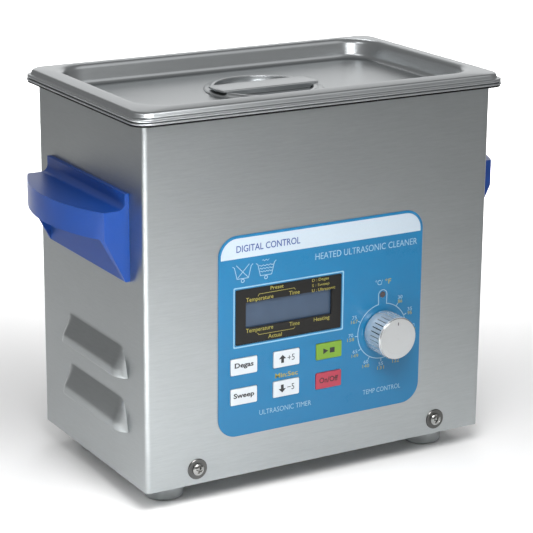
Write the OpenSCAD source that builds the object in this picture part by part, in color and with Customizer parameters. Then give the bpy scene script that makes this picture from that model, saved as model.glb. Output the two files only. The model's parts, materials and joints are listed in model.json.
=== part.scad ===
// Bench-top heated ultrasonic cleaner with a lift-off lid.
// Units are millimetres, +Z is up, the front faces -Y, and the origin is the middle of the
// object's footprint on the bench.

/* [Housing] */
// Width of the housing
body_w = 250; // [245:1:300]
// Depth of the housing
body_d = 150; // [148:1:180]
// Height of the housing's walls
body_h = 231; // [226:1:260]
// Thickness of the folded sheet
sheet = 1; // [0.8:0.1:1.2]

/* [Tank and rim] */
// Depth of the bath
bath_depth = 100; // [80:1:104]
// Inside corner radius of the bath
bath_corner = 23.5; // [15:0.5:30]
// How far the flange stands out past the housing
rim_overhang = 8; // [5:0.5:12]
// Thickness of the rolled flange
flange_t = 2; // [1.5:0.1:3]
// Thickness of the seal under the flange
gasket_t = 1.6; // [1:0.1:3]

/* [Lid] */
// Height of the lid's step above its lip
lid_step = 6.7; // [5:0.1:9]
// Depth of the lid's tray below its top rim
tray_depth = 13.3; // [10:0.1:15]
// Outer radius of the ring round the grip
grip_r = 39; // [34:0.5:42]
// Depth of the grip's dish
grip_depth = 13; // [10:0.5:16]

/* [Feet] */
// Height of a foot
foot_h = 15; // [10:1:20]
// Radius of a foot
foot_r = 12.8; // [10:0.1:15]

/* [Handles] */
// Width of a handle's plate
handle_w = 114; // [100:1:124]
// Height of a handle's plate
handle_h = 55; // [50:1:60]
// How far a handle stands out at its middle
handle_out = 31; // [28:0.5:36]

/* [Panel] */
// Width of the printed overlay
panel_w = 150; // [148:1:170]
// Height of the printed overlay
panel_h = 130.5; // [128:0.5:140]
// Height of the overlay's lower edge above the housing's lower edge
panel_low = 26.5; // [24:0.5:30]
// Width of a key
key_w = 18.8; // [16:0.2:20]
// Height of a key
key_h = 10.6; // [8:0.2:12]
// How far a key travels
key_travel = 0.5; // [0.3:0.1:0.8]

/* [Knob] */
// Diameter of the knob
knob_d = 28; // [22:0.5:32]
// Length of the knob
knob_len = 18.6; // [14:0.2:22]

/* [Hidden] */
$fn = 64;
gap = 0.3;
tank_t = 1;

housing_z = foot_h;
housing_top = housing_z + body_h;
inner_w = body_w - 2 * sheet;
inner_d = body_d - 2 * sheet;
front_y = -body_d / 2;
back_y = body_d / 2;
return_w = 12;

// Rim stack, from the housing's top edge upwards
flange_z = housing_top + gasket_t;
flange_top = flange_z + flange_t;
lip_z = flange_top + gap;
lid_top = lip_z + lid_step;
tray_z = lid_top - tray_depth;
rim_w = body_w + 2 * rim_overhang;
rim_d = body_d + 2 * rim_overhang;
bath_w = body_w - 10;
bath_d = body_d - 10;
bath_floor = flange_top - bath_depth;
tank_under = bath_floor - tank_t;

// Lid outline
step_w = rim_w - 11;
step_d = rim_d - 11;
tray_w = bath_w - 3;
tray_d = bath_d - 3;
tray_corner = bath_corner - 1.5;
dish_r = grip_r - 7;

// Front panel
overlay_t = 0.5;
key_proud = 0.4;
panel_mid_z = housing_z + panel_low + panel_h / 2;
key_columns = [-56.9, -26.2, 5.2];
key_rows = [housing_z + 72.5, housing_z + 52.8];
window_w = 77;
window_h = 36;
window_x = -24.5;
window_z = housing_z + 104.3;
glass_z = housing_z + 104.9;
dial_x = 45.4;
dial_z = housing_z + 79;
led_z = housing_z + 103.5;
led_r = 2;
shaft_r = 3;
shaft_fit = 0.06;
bush_r = 4.75;
board_y = front_y + 9;
board_t = 1.6;
key_board_w = 92;
key_board_h = 42;
key_board_x = -26;
key_board_z = housing_z + 62.6;

// The whole object is moved back so that its footprint is centred on the origin
overall_front = front_y - overlay_t - gap - knob_len;
overall_back = back_y + rim_overhang;
shift_y = -(overall_front + overall_back) / 2;

// Rear panel
rear_y = back_y - sheet - 0.1;
fan_x = -55;
fan_z = housing_z + 68;
fan_size = 80;
fan_t = 25;
inlet_x = 78;
inlet_z = housing_z + 48;
rear_screw_x = body_w / 2 - 6;

// Transducers, hung under the tank
horn_h = 26;
ring_t = 5;
plate_t = 0.3;
back_mass_h = 17;
horn_z = tank_under - horn_h;
stack_x = 60;
bolt_r = 4.9;

// Generator
gen_x = -15;
gen_y = -5;
gen_w = 120;
gen_d = 80;
gen_z = housing_z + 12;
post_h = gen_z - housing_z - sheet;

// ---------------------------------------------------------------- shared shapes

// Moves a piece from the housing's own frame to the object's frame
module placed() {
    translate([0, shift_y, 0]) children();
}

// Rectangle with round corners, centred
module round_rect(w, d, r) {
    square([w - 2 * r, d], center = true);
    square([w, d - 2 * r], center = true);
    for (x = [-1, 1], y = [-1, 1])
        translate([x * (w / 2 - r), y * (d / 2 - r)]) circle(r);
}

// Round-cornered ring of wall thickness t, standing on z
module ring_wall(w, d, r, t, z, h) {
    translate([0, 0, z]) linear_extrude(h) difference() {
        round_rect(w, d, r);
        round_rect(w - 2 * t, d - 2 * t, r - t);
    }
}

// Cylinder that points along +Y from y
module along_y(r, y, h) {
    translate([0, y, 0]) rotate([-90, 0, 0]) cylinder(r = r, h = h);
}

// Plate in the XZ plane from y backwards, with round corners
module front_plate(w, h, r, y, t) {
    translate([0, y + t, 0]) rotate([90, 0, 0]) linear_extrude(t) round_rect(w, h, r);
}

// One child on each of the four feet
module at_feet() {
    for (x = [-1, 1], y = [-1, 1])
        translate([x * (body_w / 2 - 26.2), y * (body_d / 2 - 28), 0]) children();
}

// One child on each front screw
module at_front_screws() {
    for (x = [-1, 1]) translate([x * (body_w / 2 - 35.5), 0, housing_z + 10]) children();
}

// One child on each rear screw
module at_rear_screws() {
    for (x = [-1, 1], z = [28, body_h - 28])
        translate([x * rear_screw_x, 0, housing_z + z]) children();
}

// One child on each fan screw
module at_fan_screws() {
    for (x = [-1, 1], z = [-1, 1]) translate([fan_x + x * 35.75, 0, fan_z + z * 35.75]) children();
}

// One child on each inlet screw
module at_inlet_screws() {
    for (x = [-1, 1]) translate([inlet_x + x * 20, 0, inlet_z]) children();
}

// One child on each key's place
module at_keys() {
    for (x = key_columns, z = key_rows) translate([x, 0, z]) children();
}

// One child on each transducer
module at_stacks() {
    for (x = [-1, 1]) translate([x * stack_x, 0, 0]) children();
}

// Outline of the bath, widened by grow
module bath_outline(grow = 0) {
    round_rect(bath_w + 2 * grow, bath_d + 2 * grow, bath_corner + grow);
}

// Pan head screw whose shank points along +Y, with its head at y and below
module pan_screw_y(shank_r, head_r, head_h, y, len) {
    difference() {
        union() {
            along_y(head_r, y - head_h, head_h);
            along_y(shank_r, y, len);
        }
        for (a = [0, 90]) rotate([0, a, 0])
            translate([-head_r * 0.55, y - head_h - 1, -head_r * 0.12])
                cube([head_r * 1.1, 1 + head_h * 0.6, head_r * 0.24]);
    }
}

// Points of a tube of n sides swept along a route, and the faces that close it
function unit(v) = v / norm(v);
function heading(p, i) =
    unit((i == 0 ? [0, 0, 0] : unit(p[i] - p[i - 1])) +
         (i == len(p) - 1 ? [0, 0, 0] : unit(p[i + 1] - p[i])));
function rings(p, r, n, ref) = [
    for (i = [0 : len(p) - 1], k = [0 : n - 1])
        let (t = heading(p, i), s = unit(cross(t, ref)), u = cross(t, s), a = 360 * k / n)
            p[i] + r * (cos(a) * s + sin(a) * u)
];
function skin(rows, n) = concat(
    [[for (k = [0 : n - 1]) k]],
    [for (i = [0 : rows - 2], k = [0 : n - 1])
        [i * n + k, (i + 1) * n + k, (i + 1) * n + (k + 1) % n, i * n + (k + 1) % n]],
    [[for (k = [n - 1 : -1 : 0]) (rows - 1) * n + k]]
);

// Point at parameter t on the smooth curve through p
function curve_at(p, i, t) =
    let (a = p[max(i - 1, 0)], b = p[i], c = p[i + 1], d = p[min(i + 2, len(p) - 1)])
        0.5 * (2 * b + (c - a) * t + (2 * a - 5 * b + 4 * c - d) * t * t
               + (3 * b - a - 3 * c + d) * t * t * t);
function smooth(p, steps) = concat(
    [for (i = [0 : len(p) - 2], s = [0 : steps - 1]) curve_at(p, i, s / steps)],
    [p[len(p) - 1]]
);

// Lead of radius r that runs smoothly through the points of a route; no stretch of it may
// run along ref
module lead(route, r, ref = [1, 0.2, 0.1]) {
    path = smooth(route, 4);
    polyhedron(points = rings(path, r, 8, ref), faces = skin(len(path), 8), convexity = 6);
}

// ---------------------------------------------------------------- enclosure

louvre_out = 6.5;
louvre_len = 90;
louvre_mid = -6;

// The two louvres of one side: [mouth height, hood height]
louvres = [[housing_z + 68.3, 18.7], [housing_z + 32.8, 20.2]];

// Extrudes a louvre's outline, which has the wall's outer face at x = 0, along the right wall
module along_louvre(z, len) {
    translate([body_w / 2, louvre_mid + len / 2, z]) rotate([90, 0, 0]) linear_extrude(len) children();
}

// Hood of a pressed louvre, from the wall out to its lip
module louvre_hood(z, h) {
    along_louvre(z, louvre_len)
        polygon([[-sheet / 2, 0], [-sheet / 2, h], [0, h], [louvre_out * 0.55, h * 0.62],
                 [louvre_out, 3], [louvre_out, 0]]);
}

// Space under the hood, open downwards and into the housing
module louvre_space(z, h) {
    along_louvre(z, louvre_len - 2 * sheet)
        polygon([[-sheet - 1, 0], [-sheet - 1, h - 2 * sheet], [0, h - 2 * sheet],
                 [louvre_out * 0.55 - sheet, h * 0.62 - sheet], [louvre_out - sheet, 3 - sheet / 2],
                 [louvre_out - sheet, -1], [0, -1], [0, 0]]);
}

module housing_shell() {
    color([0.66, 0.68, 0.69]) placed() difference() {
        union() {
            ring_wall(body_w, body_d, 3, sheet, housing_z, body_h);
            // Inward edge that carries the tank's flange
            translate([0, 0, housing_top - sheet]) linear_extrude(sheet) difference() {
                round_rect(body_w - sheet, body_d - sheet, 2.5);
                bath_outline(tank_t + 1);
            }
            for (side = [0, 1], v = louvres) mirror([side, 0, 0]) louvre_hood(v[0], v[1]);
        }
        // Opening for the rear panel between the two rear returns
        translate([return_w - body_w / 2, back_y - sheet - 1, housing_z - 1])
            cube([body_w - 2 * return_w, sheet + 2, body_h + 1 - 2 * sheet]);
        translate([window_x, 0, window_z])
            front_plate(window_w, window_h, 1, front_y - 1, sheet + 2);
        at_keys() front_plate(key_w + 2 * gap, key_h + 2 * gap, 1, front_y - 1, sheet + 2);
        translate([dial_x, 0, dial_z]) along_y(bush_r + 0.1, front_y - 1, sheet + 2);
        translate([dial_x, 0, led_z]) along_y(led_r + 0.1, front_y - 1, sheet + 2);
        at_front_screws() along_y(2.1, front_y - 1, sheet + 2);
        at_rear_screws() along_y(1.6, back_y - sheet - 1, sheet + 2);
        for (side = [0, 1]) mirror([side, 0, 0]) {
            translate([body_w / 2, 0, 0]) handle_holes(-sheet - 1, sheet + 2, 2.1);
            for (v = louvres) louvre_space(v[0], v[1]);
        }
    }
}

module rear_panel() {
    color([0.62, 0.64, 0.65]) placed() difference() {
        translate([0, 0, housing_z + body_h / 2])
            front_plate(inner_w - 4.4, body_h - 3, 1, rear_y - sheet, sheet);
        // Fan slots inside a circle
        intersection() {
            translate([fan_x, 0, fan_z]) along_y(37, rear_y - sheet - 1, sheet + 2);
            for (i = [-4 : 4]) translate([fan_x, 0, fan_z + i * 8])
                front_plate(74, 3.6, 1.7, rear_y - sheet - 1, sheet + 2);
        }
        at_fan_screws() along_y(1.7, rear_y - sheet - 1, sheet + 2);
        at_inlet_screws() along_y(1.6, rear_y - sheet - 1, sheet + 2);
        at_rear_screws() along_y(1.5, rear_y - sheet - 1, sheet + 2);
        translate([inlet_x, 0, inlet_z]) front_plate(28, 32, 2, rear_y - sheet - 1, sheet + 2);
    }
}

module base_pan() {
    pan_w = inner_w - 0.4;
    pan_d = inner_d - 2.8;
    pan_y = -1.2;
    color([0.6, 0.62, 0.63]) placed() difference() {
        translate([0, pan_y, 0]) {
            translate([0, 0, housing_z]) linear_extrude(sheet) round_rect(pan_w, pan_d, 2);
            ring_wall(pan_w, pan_d, 2, sheet, housing_z, 20);
        }
        at_feet() translate([0, 0, housing_z - 1]) cylinder(r = 2.2, h = sheet + 2);
        at_front_screws() along_y(1.9, front_y, 4);
        // Air slots between the feet
        for (i = [-3 : 3]) translate([i * 12, 0, housing_z - 1])
            linear_extrude(sheet + 2) round_rect(3.5, 60, 1.6);
        for (x = [-1, 1], y = [-1, 1])
            translate([gen_x + x * (gen_w / 2 - 5), gen_y + y * (gen_d / 2 - 5), housing_z - 1])
                cylinder(r = 1.6, h = sheet + 2);
    }
}

module tank() {
    color([0.72, 0.74, 0.75]) placed() difference() {
        union() {
            translate([0, 0, flange_z]) linear_extrude(flange_t) round_rect(rim_w, rim_d, 11);
            translate([0, 0, tank_under]) linear_extrude(bath_depth) bath_outline(tank_t);
        }
        translate([0, 0, bath_floor]) linear_extrude(bath_depth + 1) bath_outline();
    }
}

module rim_gasket() {
    color([0.06, 0.06, 0.07]) placed() translate([0, 0, housing_top]) linear_extrude(gasket_t)
        difference() {
            round_rect(rim_w - 1.6, rim_d - 1.6, 10.2);
            bath_outline(tank_t + 0.2);
        }
}

module feet() {
    color([0.47, 0.48, 0.5]) placed() at_feet() difference() {
        rotate_extrude() polygon([[0, 0], [foot_r - 1, 0], [foot_r, 1.2], [foot_r - 0.3, foot_h],
                                  [0, foot_h]]);
        translate([0, 0, -1]) cylinder(r = 4.6, h = 6);
        cylinder(r = 2.1, h = foot_h + 1);
    }
}

module foot_screws() {
    color("silver") placed() at_feet() {
        translate([0, 0, 2.4]) cylinder(r = 4, h = 2.6);
        translate([0, 0, 5]) cylinder(r = 2, h = foot_h + sheet + 4 - 5);
        // Nut inside the pan
        translate([0, 0, housing_z + sheet]) difference() {
            cylinder(r = 4, h = 3, $fn = 6);
            translate([0, 0, -1]) cylinder(r = 2.05, h = 5);
        }
    }
}

module front_screws() {
    color("silver") placed() at_front_screws() pan_screw_y(1.85, 4, 2.6, front_y - 0.8, 6);
}

module front_washers() {
    color("silver") placed() at_front_screws() difference() {
        along_y(6.7, front_y - 0.8, 0.8);
        along_y(2, front_y - 1, 2);
    }
}

module rear_screws() {
    color("silver") placed() at_rear_screws() rotate([0, 0, 180])
        pan_screw_y(1.45, 3, 2, -back_y, 5);
}

// ---------------------------------------------------------------- handles

handle_z = housing_z + 132;
hood_top = handle_z + 45;
band_low = handle_z + 28;
plate_t2 = 3;
hood_half = 55;
corner_out = 17;
boss_y = 36;
boss_z = handle_z + 38;

// One cylinder along +X on each handle screw's place
module handle_holes(x, len, r) {
    for (y = [-1, 1]) translate([x, y * boss_y, boss_z]) rotate([0, 90, 0]) cylinder(r = r, h = len);
}

// Plan of the hood, shrunk by inset: a flat bow that reaches handle_out at its middle
module hood_plan(inset) {
    rise = handle_out - corner_out;
    bow_r = (hood_half * hood_half + rise * rise) / (2 * rise);
    intersection() {
        translate([handle_out - bow_r, 0]) circle(bow_r - inset, $fn = 180);
        translate([plate_t2 - 1, inset - hood_half]) square([60, 2 * (hood_half - inset)]);
    }
}

// Right handle, with the housing's wall at x = body_w / 2
module handle() {
    color([0.12, 0.29, 0.6]) placed() translate([body_w / 2, 0, 0]) difference() {
        union() {
            translate([0, 0, handle_z + handle_h / 2]) rotate([90, 0, 90])
                linear_extrude(plate_t2) round_rect(handle_w, handle_h, 3);
            difference() {
                translate([0, 0, handle_z]) linear_extrude(hood_top - handle_z) hood_plan(0);
                translate([0, 0, handle_z - 1]) linear_extrude(hood_top - 3 - handle_z + 1)
                    intersection() {
                        hood_plan(3);
                        translate([plate_t2, -100]) square([100, 200]);
                    }
                // Lower edge: slanting side walls, level under the outer band
                rotate([90, 0, 0]) linear_extrude(200, center = true)
                    polygon([[plate_t2, handle_z], [corner_out, band_low], [60, band_low],
                             [60, handle_z - 10], [plate_t2 - 1, handle_z - 10]]);
            }
            handle_holes(plate_t2 - 0.5, 10, 4.5);
        }
        handle_holes(-1, 10, 1.8);
    }
}

module right_handle() {
    handle();
}

module left_handle() {
    mirror([1, 0, 0]) handle();
}

module handle_screws() {
    color("silver") placed() for (side = [0, 1]) mirror([side, 0, 0])
        translate([body_w / 2 - sheet, 0, 0]) {
            handle_holes(-1.6, 1.6, 3.2);
            handle_holes(0, 9, 1.75);
        }
}

// ---------------------------------------------------------------- front panel

module panel_overlay() {
    color([0.22, 0.53, 0.74]) placed() difference() {
        translate([0, 0, panel_mid_z]) front_plate(panel_w, panel_h, 13, front_y - overlay_t, overlay_t);
        translate([window_x, 0, window_z]) front_plate(window_w, window_h, 1, front_y - 2, 3);
        at_keys() front_plate(key_w + 2 * gap, key_h + 2 * gap, 1, front_y - 2, 3);
        translate([dial_x, 0, dial_z]) along_y(bush_r + 0.1, front_y - 2, 3);
        translate([dial_x, 0, led_z]) along_y(led_r + 0.1, front_y - 2, 3);
    }
}

module display_window() {
    color([0.05, 0.05, 0.07]) placed() difference() {
        translate([window_x, 0, window_z])
            front_plate(window_w - 0.4, window_h - 0.4, 1, front_y - overlay_t, 1.2);
        translate([window_x, 0, glass_z]) front_plate(62.3, 16.8, 0.5, front_y - 2, 4);
    }
}

module lcd_glass() {
    color([0.34, 0.39, 0.49]) placed() translate([window_x, 0, glass_z])
        front_plate(65.5, 19, 0.5, front_y + 1.4, 2.2);
}

module lcd_bezel() {
    color([0.1, 0.1, 0.11]) placed() translate([window_x, 0, glass_z]) difference() {
        front_plate(71.2, 26, 1, front_y + 1, 6);
        front_plate(64.5, 17.4, 0.5, front_y, 4);
        front_plate(66, 19.6, 0.5, front_y + 1.35, 7);
    }
}

module lcd_board() {
    color([0.08, 0.32, 0.18]) placed() translate([window_x, 0, glass_z]) difference() {
        front_plate(80, 36, 1, front_y + 7, board_t);
        for (x = [-1, 1], z = [-1, 1]) translate([x * 37.5, 0, z * 15.5])
            along_y(1.25, front_y + 6, 4);
    }
}

module status_led() {
    color([0.55, 0.12, 0.1]) placed() translate([dial_x, 0, led_z]) {
        along_y(led_r, front_y - overlay_t, 6);
        along_y(2.6, front_y + sheet, 1);
    }
}

module control_board() {
    color([0.08, 0.32, 0.18]) placed() translate([key_board_x, 0, key_board_z]) difference() {
        front_plate(key_board_w, key_board_h, 1, board_y, board_t);
        at_board_posts() along_y(1.6, board_y - 1, board_t + 2);
    }
}

// One child on each corner post of the key board
module at_board_posts() {
    for (x = [-1, 1], z = [-1, 1])
        translate([x * (key_board_w / 2 - 3.5), 0, z * (key_board_h / 2 - 3.5)]) children();
}

module board_standoffs() {
    color("silver") placed() translate([key_board_x, 0, key_board_z]) at_board_posts() {
        along_y(2.6, front_y + sheet, board_y - front_y - sheet);
        along_y(1.5, board_y, board_t + 1);
    }
}

module tact_switches() {
    color([0.12, 0.12, 0.13]) placed() at_keys() {
        translate([-3, board_y - 3.4, -3]) cube([6, 3.4, 6]);
        along_y(1.7, board_y - 4.4, 1);
    }
}

// Key cap with a stem that reaches towards its switch
module key_at(column, row, tint) {
    stem_y = front_y - overlay_t - key_proud + 1.4;
    color(tint) placed() translate([key_columns[column], 0, key_rows[row]]) {
        front_plate(key_w, key_h, 0.8, front_y - overlay_t - key_proud, 1.4);
        along_y(1.5, stem_y, board_y - 4.4 - key_travel - gap - stem_y);
    }
}

module key_degas() { key_at(0, 0, [0.93, 0.94, 0.95]); }
module key_sweep() { key_at(0, 1, [0.93, 0.94, 0.95]); }
module key_time_up() { key_at(1, 0, [0.93, 0.94, 0.95]); }
module key_time_down() { key_at(1, 1, [0.93, 0.94, 0.95]); }
module key_start_stop() { key_at(2, 0, [0.55, 0.75, 0.15]); }
module key_heater() { key_at(2, 1, [0.87, 0.2, 0.32]); }

// ---------------------------------------------------------------- thermostat and knob

body_front = front_y + sheet + 3;
knob_y = front_y - overlay_t - gap - knob_len;

module thermostat_body() {
    color([0.75, 0.76, 0.77]) placed() translate([dial_x, 0, dial_z]) difference() {
        union() {
            front_plate(36, 40, 3, body_front, 22);
            along_y(8, front_y + sheet, 3);
            along_y(bush_r, front_y - overlay_t, 2);
        }
        along_y(shaft_r + shaft_fit, front_y - 2, 26);
    }
}

module thermostat_nut() {
    color("silver") placed() translate([dial_x, 0, dial_z]) difference() {
        translate([0, front_y + sheet + 0.05, 0]) rotate([-90, 0, 0]) cylinder(r = 11, h = 1.2, $fn = 6);
        along_y(8.1, front_y, 5);
    }
}

module thermostat_capillary() {
    bulb_z = tank_under - 3.1;
    color([0.72, 0.45, 0.25]) placed() {
        translate([-20, -42, bulb_z]) rotate([0, 90, 0]) cylinder(r = 3, h = 60);
        lead([[dial_x, body_front + 22.2, dial_z + 10], [dial_x, -42, dial_z + 10],
              [50, -37, dial_z + 20], [54, -38, dial_z + 38], [52, -41, bulb_z - 3],
              [47, -42, bulb_z], [40.2, -42, bulb_z]], 0.9, [0.5, 1, 0.5]);
    }
}

module thermostat_shaft() {
    color("silver") placed() translate([dial_x, 0, dial_z]) difference() {
        along_y(shaft_r, front_y - 14, 34);
        // Flat that drives the knob
        translate([-5, front_y - 15, shaft_r - 1]) cube([10, 9, 5]);
    }
}

module knob_shell() {
    flutes = 28;
    color([0.8, 0.81, 0.82]) placed() translate([dial_x, 0, dial_z]) difference() {
        union() {
            along_y(knob_d / 2 - 0.4, knob_y, knob_len);
            along_y(knob_d / 2, knob_y + 0.8, knob_len - 4);
        }
        // Recess for the face insert
        along_y(knob_d / 2 - 2, knob_y - 1, 1.8);
        // Flutes round the side
        for (i = [0 : flutes - 1]) rotate([0, i * 360 / flutes, 0])
            translate([knob_d / 2 + 0.5, 0, 0]) along_y(1.1, knob_y + 2.4, knob_len - 7);
        // Hollow behind, round the hub
        difference() {
            along_y(knob_d / 2 - 2.2, knob_y + 6, knob_len);
            along_y(5.6, knob_y + 5, knob_len + 1);
        }
        // Hub bore
        along_y(shaft_r + 0.02, knob_y + 4, knob_len);
    }
}

module knob_insert() {
    color([0.85, 0.86, 0.87]) placed() translate([dial_x, 0, dial_z]) difference() {
        along_y(knob_d / 2 - 2.05, knob_y, 0.8);
        translate([-0.6, knob_y - 0.5, knob_d / 2 - 7.5]) cube([1.2, 0.8, 4.5]);
    }
}

// ---------------------------------------------------------------- generator

module generator_board() {
    color([0.35, 0.25, 0.1]) placed() translate([gen_x, gen_y, gen_z]) difference() {
        linear_extrude(board_t) round_rect(gen_w, gen_d, 2);
        at_gen_posts() translate([0, 0, -1]) cylinder(r = 1.6, h = 4);
    }
}

// One child on each corner post of the generator board
module at_gen_posts() {
    for (x = [-1, 1], y = [-1, 1]) translate([x * (gen_w / 2 - 5), y * (gen_d / 2 - 5), 0]) children();
}

module generator_standoffs() {
    color("silver") placed() translate([gen_x, gen_y, 0]) at_gen_posts() {
        translate([0, 0, housing_z + sheet]) cylinder(r = 3, h = post_h, $fn = 6);
        translate([0, 0, housing_z - 0.4]) cylinder(r = 1.5, h = sheet + 0.4);
        translate([0, 0, gen_z]) cylinder(r = 1.5, h = board_t);
        translate([0, 0, gen_z + board_t]) cylinder(r = 2.8, h = 1.8);
    }
}

module heat_sink() {
    color([0.15, 0.15, 0.16]) placed() translate([gen_x - 38, gen_y - 9, gen_z + board_t])
        linear_extrude(38) {
            translate([-2, -22]) square([4, 44]);
            for (i = [-4 : 4]) translate([-16, i * 5 - 0.8]) square([14.5, 1.6]);
        }
}

module power_transistors() {
    color([0.1, 0.1, 0.1]) placed() for (y = [-11, 11])
        translate([gen_x - 36, gen_y - 9 + y, gen_z + board_t]) {
            translate([0.05, -8, 4]) cube([5, 16, 20]);
            for (k = [-1 : 1]) translate([2, k * 5.4 - 0.6, 0]) cube([0.8, 1.2, 4]);
        }
}

module transformer() {
    color([0.2, 0.2, 0.22]) placed() translate([gen_x + 2, gen_y + 4, gen_z + board_t]) {
        for (x = [-1, 1]) translate([x * 16 - 3, -14, 0.05]) cube([6, 28, 30]);
        for (z = [0.05, 24]) translate([-16, -14, z]) cube([32, 28, 6]);
        color([0.75, 0.6, 0.15]) translate([0, 0, 6.2]) cylinder(r = 11.5, h = 17.6);
    }
}

module filter_capacitors() {
    color([0.1, 0.12, 0.3]) placed() for (y = [-22, 4, 28])
        translate([gen_x + 42, gen_y + y - 3, gen_z + board_t + 0.05]) rotate_extrude()
            polygon([[0, 0], [10, 0], [10, 2.4], [9.4, 3], [10, 3.6], [10, 33], [9.2, 34], [0, 34]]);
}

// ---------------------------------------------------------------- transducers and heating

module transducer_front_masses() {
    color([0.78, 0.79, 0.8]) placed() at_stacks() translate([0, 0, horn_z]) rotate_extrude()
        polygon([[5, 0], [19, 0], [19, 6], [22.5, horn_h - 5], [22.5, horn_h], [0, horn_h],
                 [0, horn_h - 6], [5, horn_h - 6]]);
}

// Height of the top of ceramic ring i, counted downwards
function ring_top(i) = horn_z - plate_t - i * (ring_t + plate_t);

module piezo_rings() {
    color([0.35, 0.33, 0.28]) placed() at_stacks() for (i = [0, 1])
        translate([0, 0, ring_top(i) - ring_t]) difference() {
            cylinder(r = 19, h = ring_t);
            translate([0, 0, -1]) cylinder(r = 7, h = ring_t + 2);
        }
}

module transducer_electrodes() {
    color([0.8, 0.62, 0.25]) placed() at_stacks() for (i = [0 : 2])
        translate([0, 0, horn_z - plate_t - i * (ring_t + plate_t)]) linear_extrude(plate_t)
            difference() {
                union() {
                    circle(19);
                    rotate(90 * i + 45) translate([17, -2.5]) square([8, 5]);
                }
                circle(6.5);
            }
}

back_mass_top = ring_top(2);

module transducer_back_masses() {
    color([0.5, 0.51, 0.53]) placed() at_stacks() translate([0, 0, back_mass_top - back_mass_h])
        difference() {
            cylinder(r = 20, h = back_mass_h);
            translate([0, 0, -1]) cylinder(r = 5.5, h = back_mass_h + 2);
        }
}

module transducer_bolts() {
    head_z = back_mass_top - back_mass_h;
    color([0.2, 0.2, 0.21]) placed() at_stacks() {
        translate([0, 0, head_z - 7]) cylinder(r = 8, h = 7);
        translate([0, 0, head_z]) cylinder(r = bolt_r, h = horn_z + 16 - head_z);
    }
}

module heater_pads() {
    color([0.7, 0.35, 0.2]) placed() for (y = [-1, 1])
        translate([0, y * (bath_d / 2 + tank_t + 0.8), bath_floor + 26])
            front_plate(170, 40, 6, -0.75, 1.5);
}

module thermal_cutout() {
    color([0.8, 0.8, 0.78]) placed() translate([0, 25, tank_under]) {
        translate([0, 0, -1.2]) cylinder(r = 8, h = 1.2);
        translate([0, 0, -8]) cylinder(r = 7, h = 6.8);
        for (x = [-4.5, 3.7]) translate([x, -2.5, -13]) cube([0.8, 5, 5]);
    }
}

// ---------------------------------------------------------------- fan and mains inlet

fan_y = rear_y - sheet - fan_t;

module fan_frame() {
    color([0.08, 0.08, 0.09]) placed() translate([fan_x, 0, fan_z]) {
        difference() {
            front_plate(fan_size, fan_size, 4, fan_y, fan_t);
            along_y(38, fan_y - 1, fan_t + 2);
            for (x = [-1, 1], z = [-1, 1]) translate([x * 35.75, 0, z * 35.75])
                along_y(2.1, fan_y - 1, fan_t + 2);
        }
        // Motor seat and its spokes, on the inner face
        difference() {
            along_y(16, fan_y, 4);
            along_y(3.2, fan_y - 1, 6);
        }
        for (a = [45, 135, 225, 315]) rotate([0, a, 0])
            translate([15.5, fan_y, -2]) cube([23.2, 3, 4]);
    }
}

module fan_rotor() {
    blades = 7;
    color([0.1, 0.1, 0.11]) placed() translate([fan_x, 0, fan_z]) {
        along_y(15.5, fan_y + 4.6, 18);
        along_y(3.12, fan_y + 0.5, 4.2);
        for (i = [0 : blades - 1]) rotate([0, i * 360 / blades, 0])
            translate([15, fan_y + 13.6, 0]) rotate([38, 0, 0])
                translate([0, -8.5, -0.7]) cube([21.4, 17, 1.4]);
    }
}

module fan_screws() {
    color("silver") placed() at_fan_screws() rotate([0, 0, 180])
        pan_screw_y(1.65, 3.4, 2.2, -rear_y, 12);
}

socket_w = 24.4;
socket_h = 16.6;
socket_z = 5.2;
socket_deep = 17;
inlet_face = rear_y + 3;
drawer_w = 21;
drawer_h = 6.6;
drawer_z = -11.2;
drawer_deep = 20;

module mains_inlet() {
    color([0.07, 0.07, 0.08]) placed() translate([inlet_x, 0, inlet_z]) difference() {
        union() {
            front_plate(50, 33, 3, rear_y, 3);
            front_plate(27.6, 31.6, 2, rear_y - 26, 26);
        }
        translate([0, 0, socket_z])
            front_plate(socket_w, socket_h, 3, inlet_face - socket_deep, socket_deep + 1);
        translate([0, 0, drawer_z])
            front_plate(drawer_w + 2 * gap, drawer_h + 2 * gap, 0.6, inlet_face - drawer_deep - gap,
                        drawer_deep + 2);
        for (x = [-1, 1]) translate([x * 20, 0, 0]) along_y(1.65, rear_y - 1, 6);
    }
}

module inlet_pins() {
    color([0.75, 0.73, 0.6]) placed() translate([inlet_x, 0, inlet_z + socket_z])
        for (p = [[-7, -2], [7, -2], [0, 2]])
            translate([p[0] - 1, inlet_face - socket_deep, p[1] - 2])
                cube([2, socket_deep - 2, 4]);
}

module inlet_screws() {
    color("silver") placed() at_inlet_screws() rotate([0, 0, 180])
        pan_screw_y(1.45, 2.9, 1.8, -inlet_face, 7);
}

module fuse_drawer() {
    color([0.1, 0.1, 0.11]) placed() translate([inlet_x, 0, inlet_z + drawer_z]) difference() {
        union() {
            front_plate(drawer_w, drawer_h, 0.6, inlet_face - drawer_deep, drawer_deep);
            // Finger tab
            translate([-4, inlet_face, -1]) cube([8, 1.4, 2]);
        }
        // Cradle for the fuse
        translate([-10, inlet_face - drawer_deep + 2, 0]) cube([20, drawer_deep - 5, 10]);
    }
}

// ---------------------------------------------------------------- wiring

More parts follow.
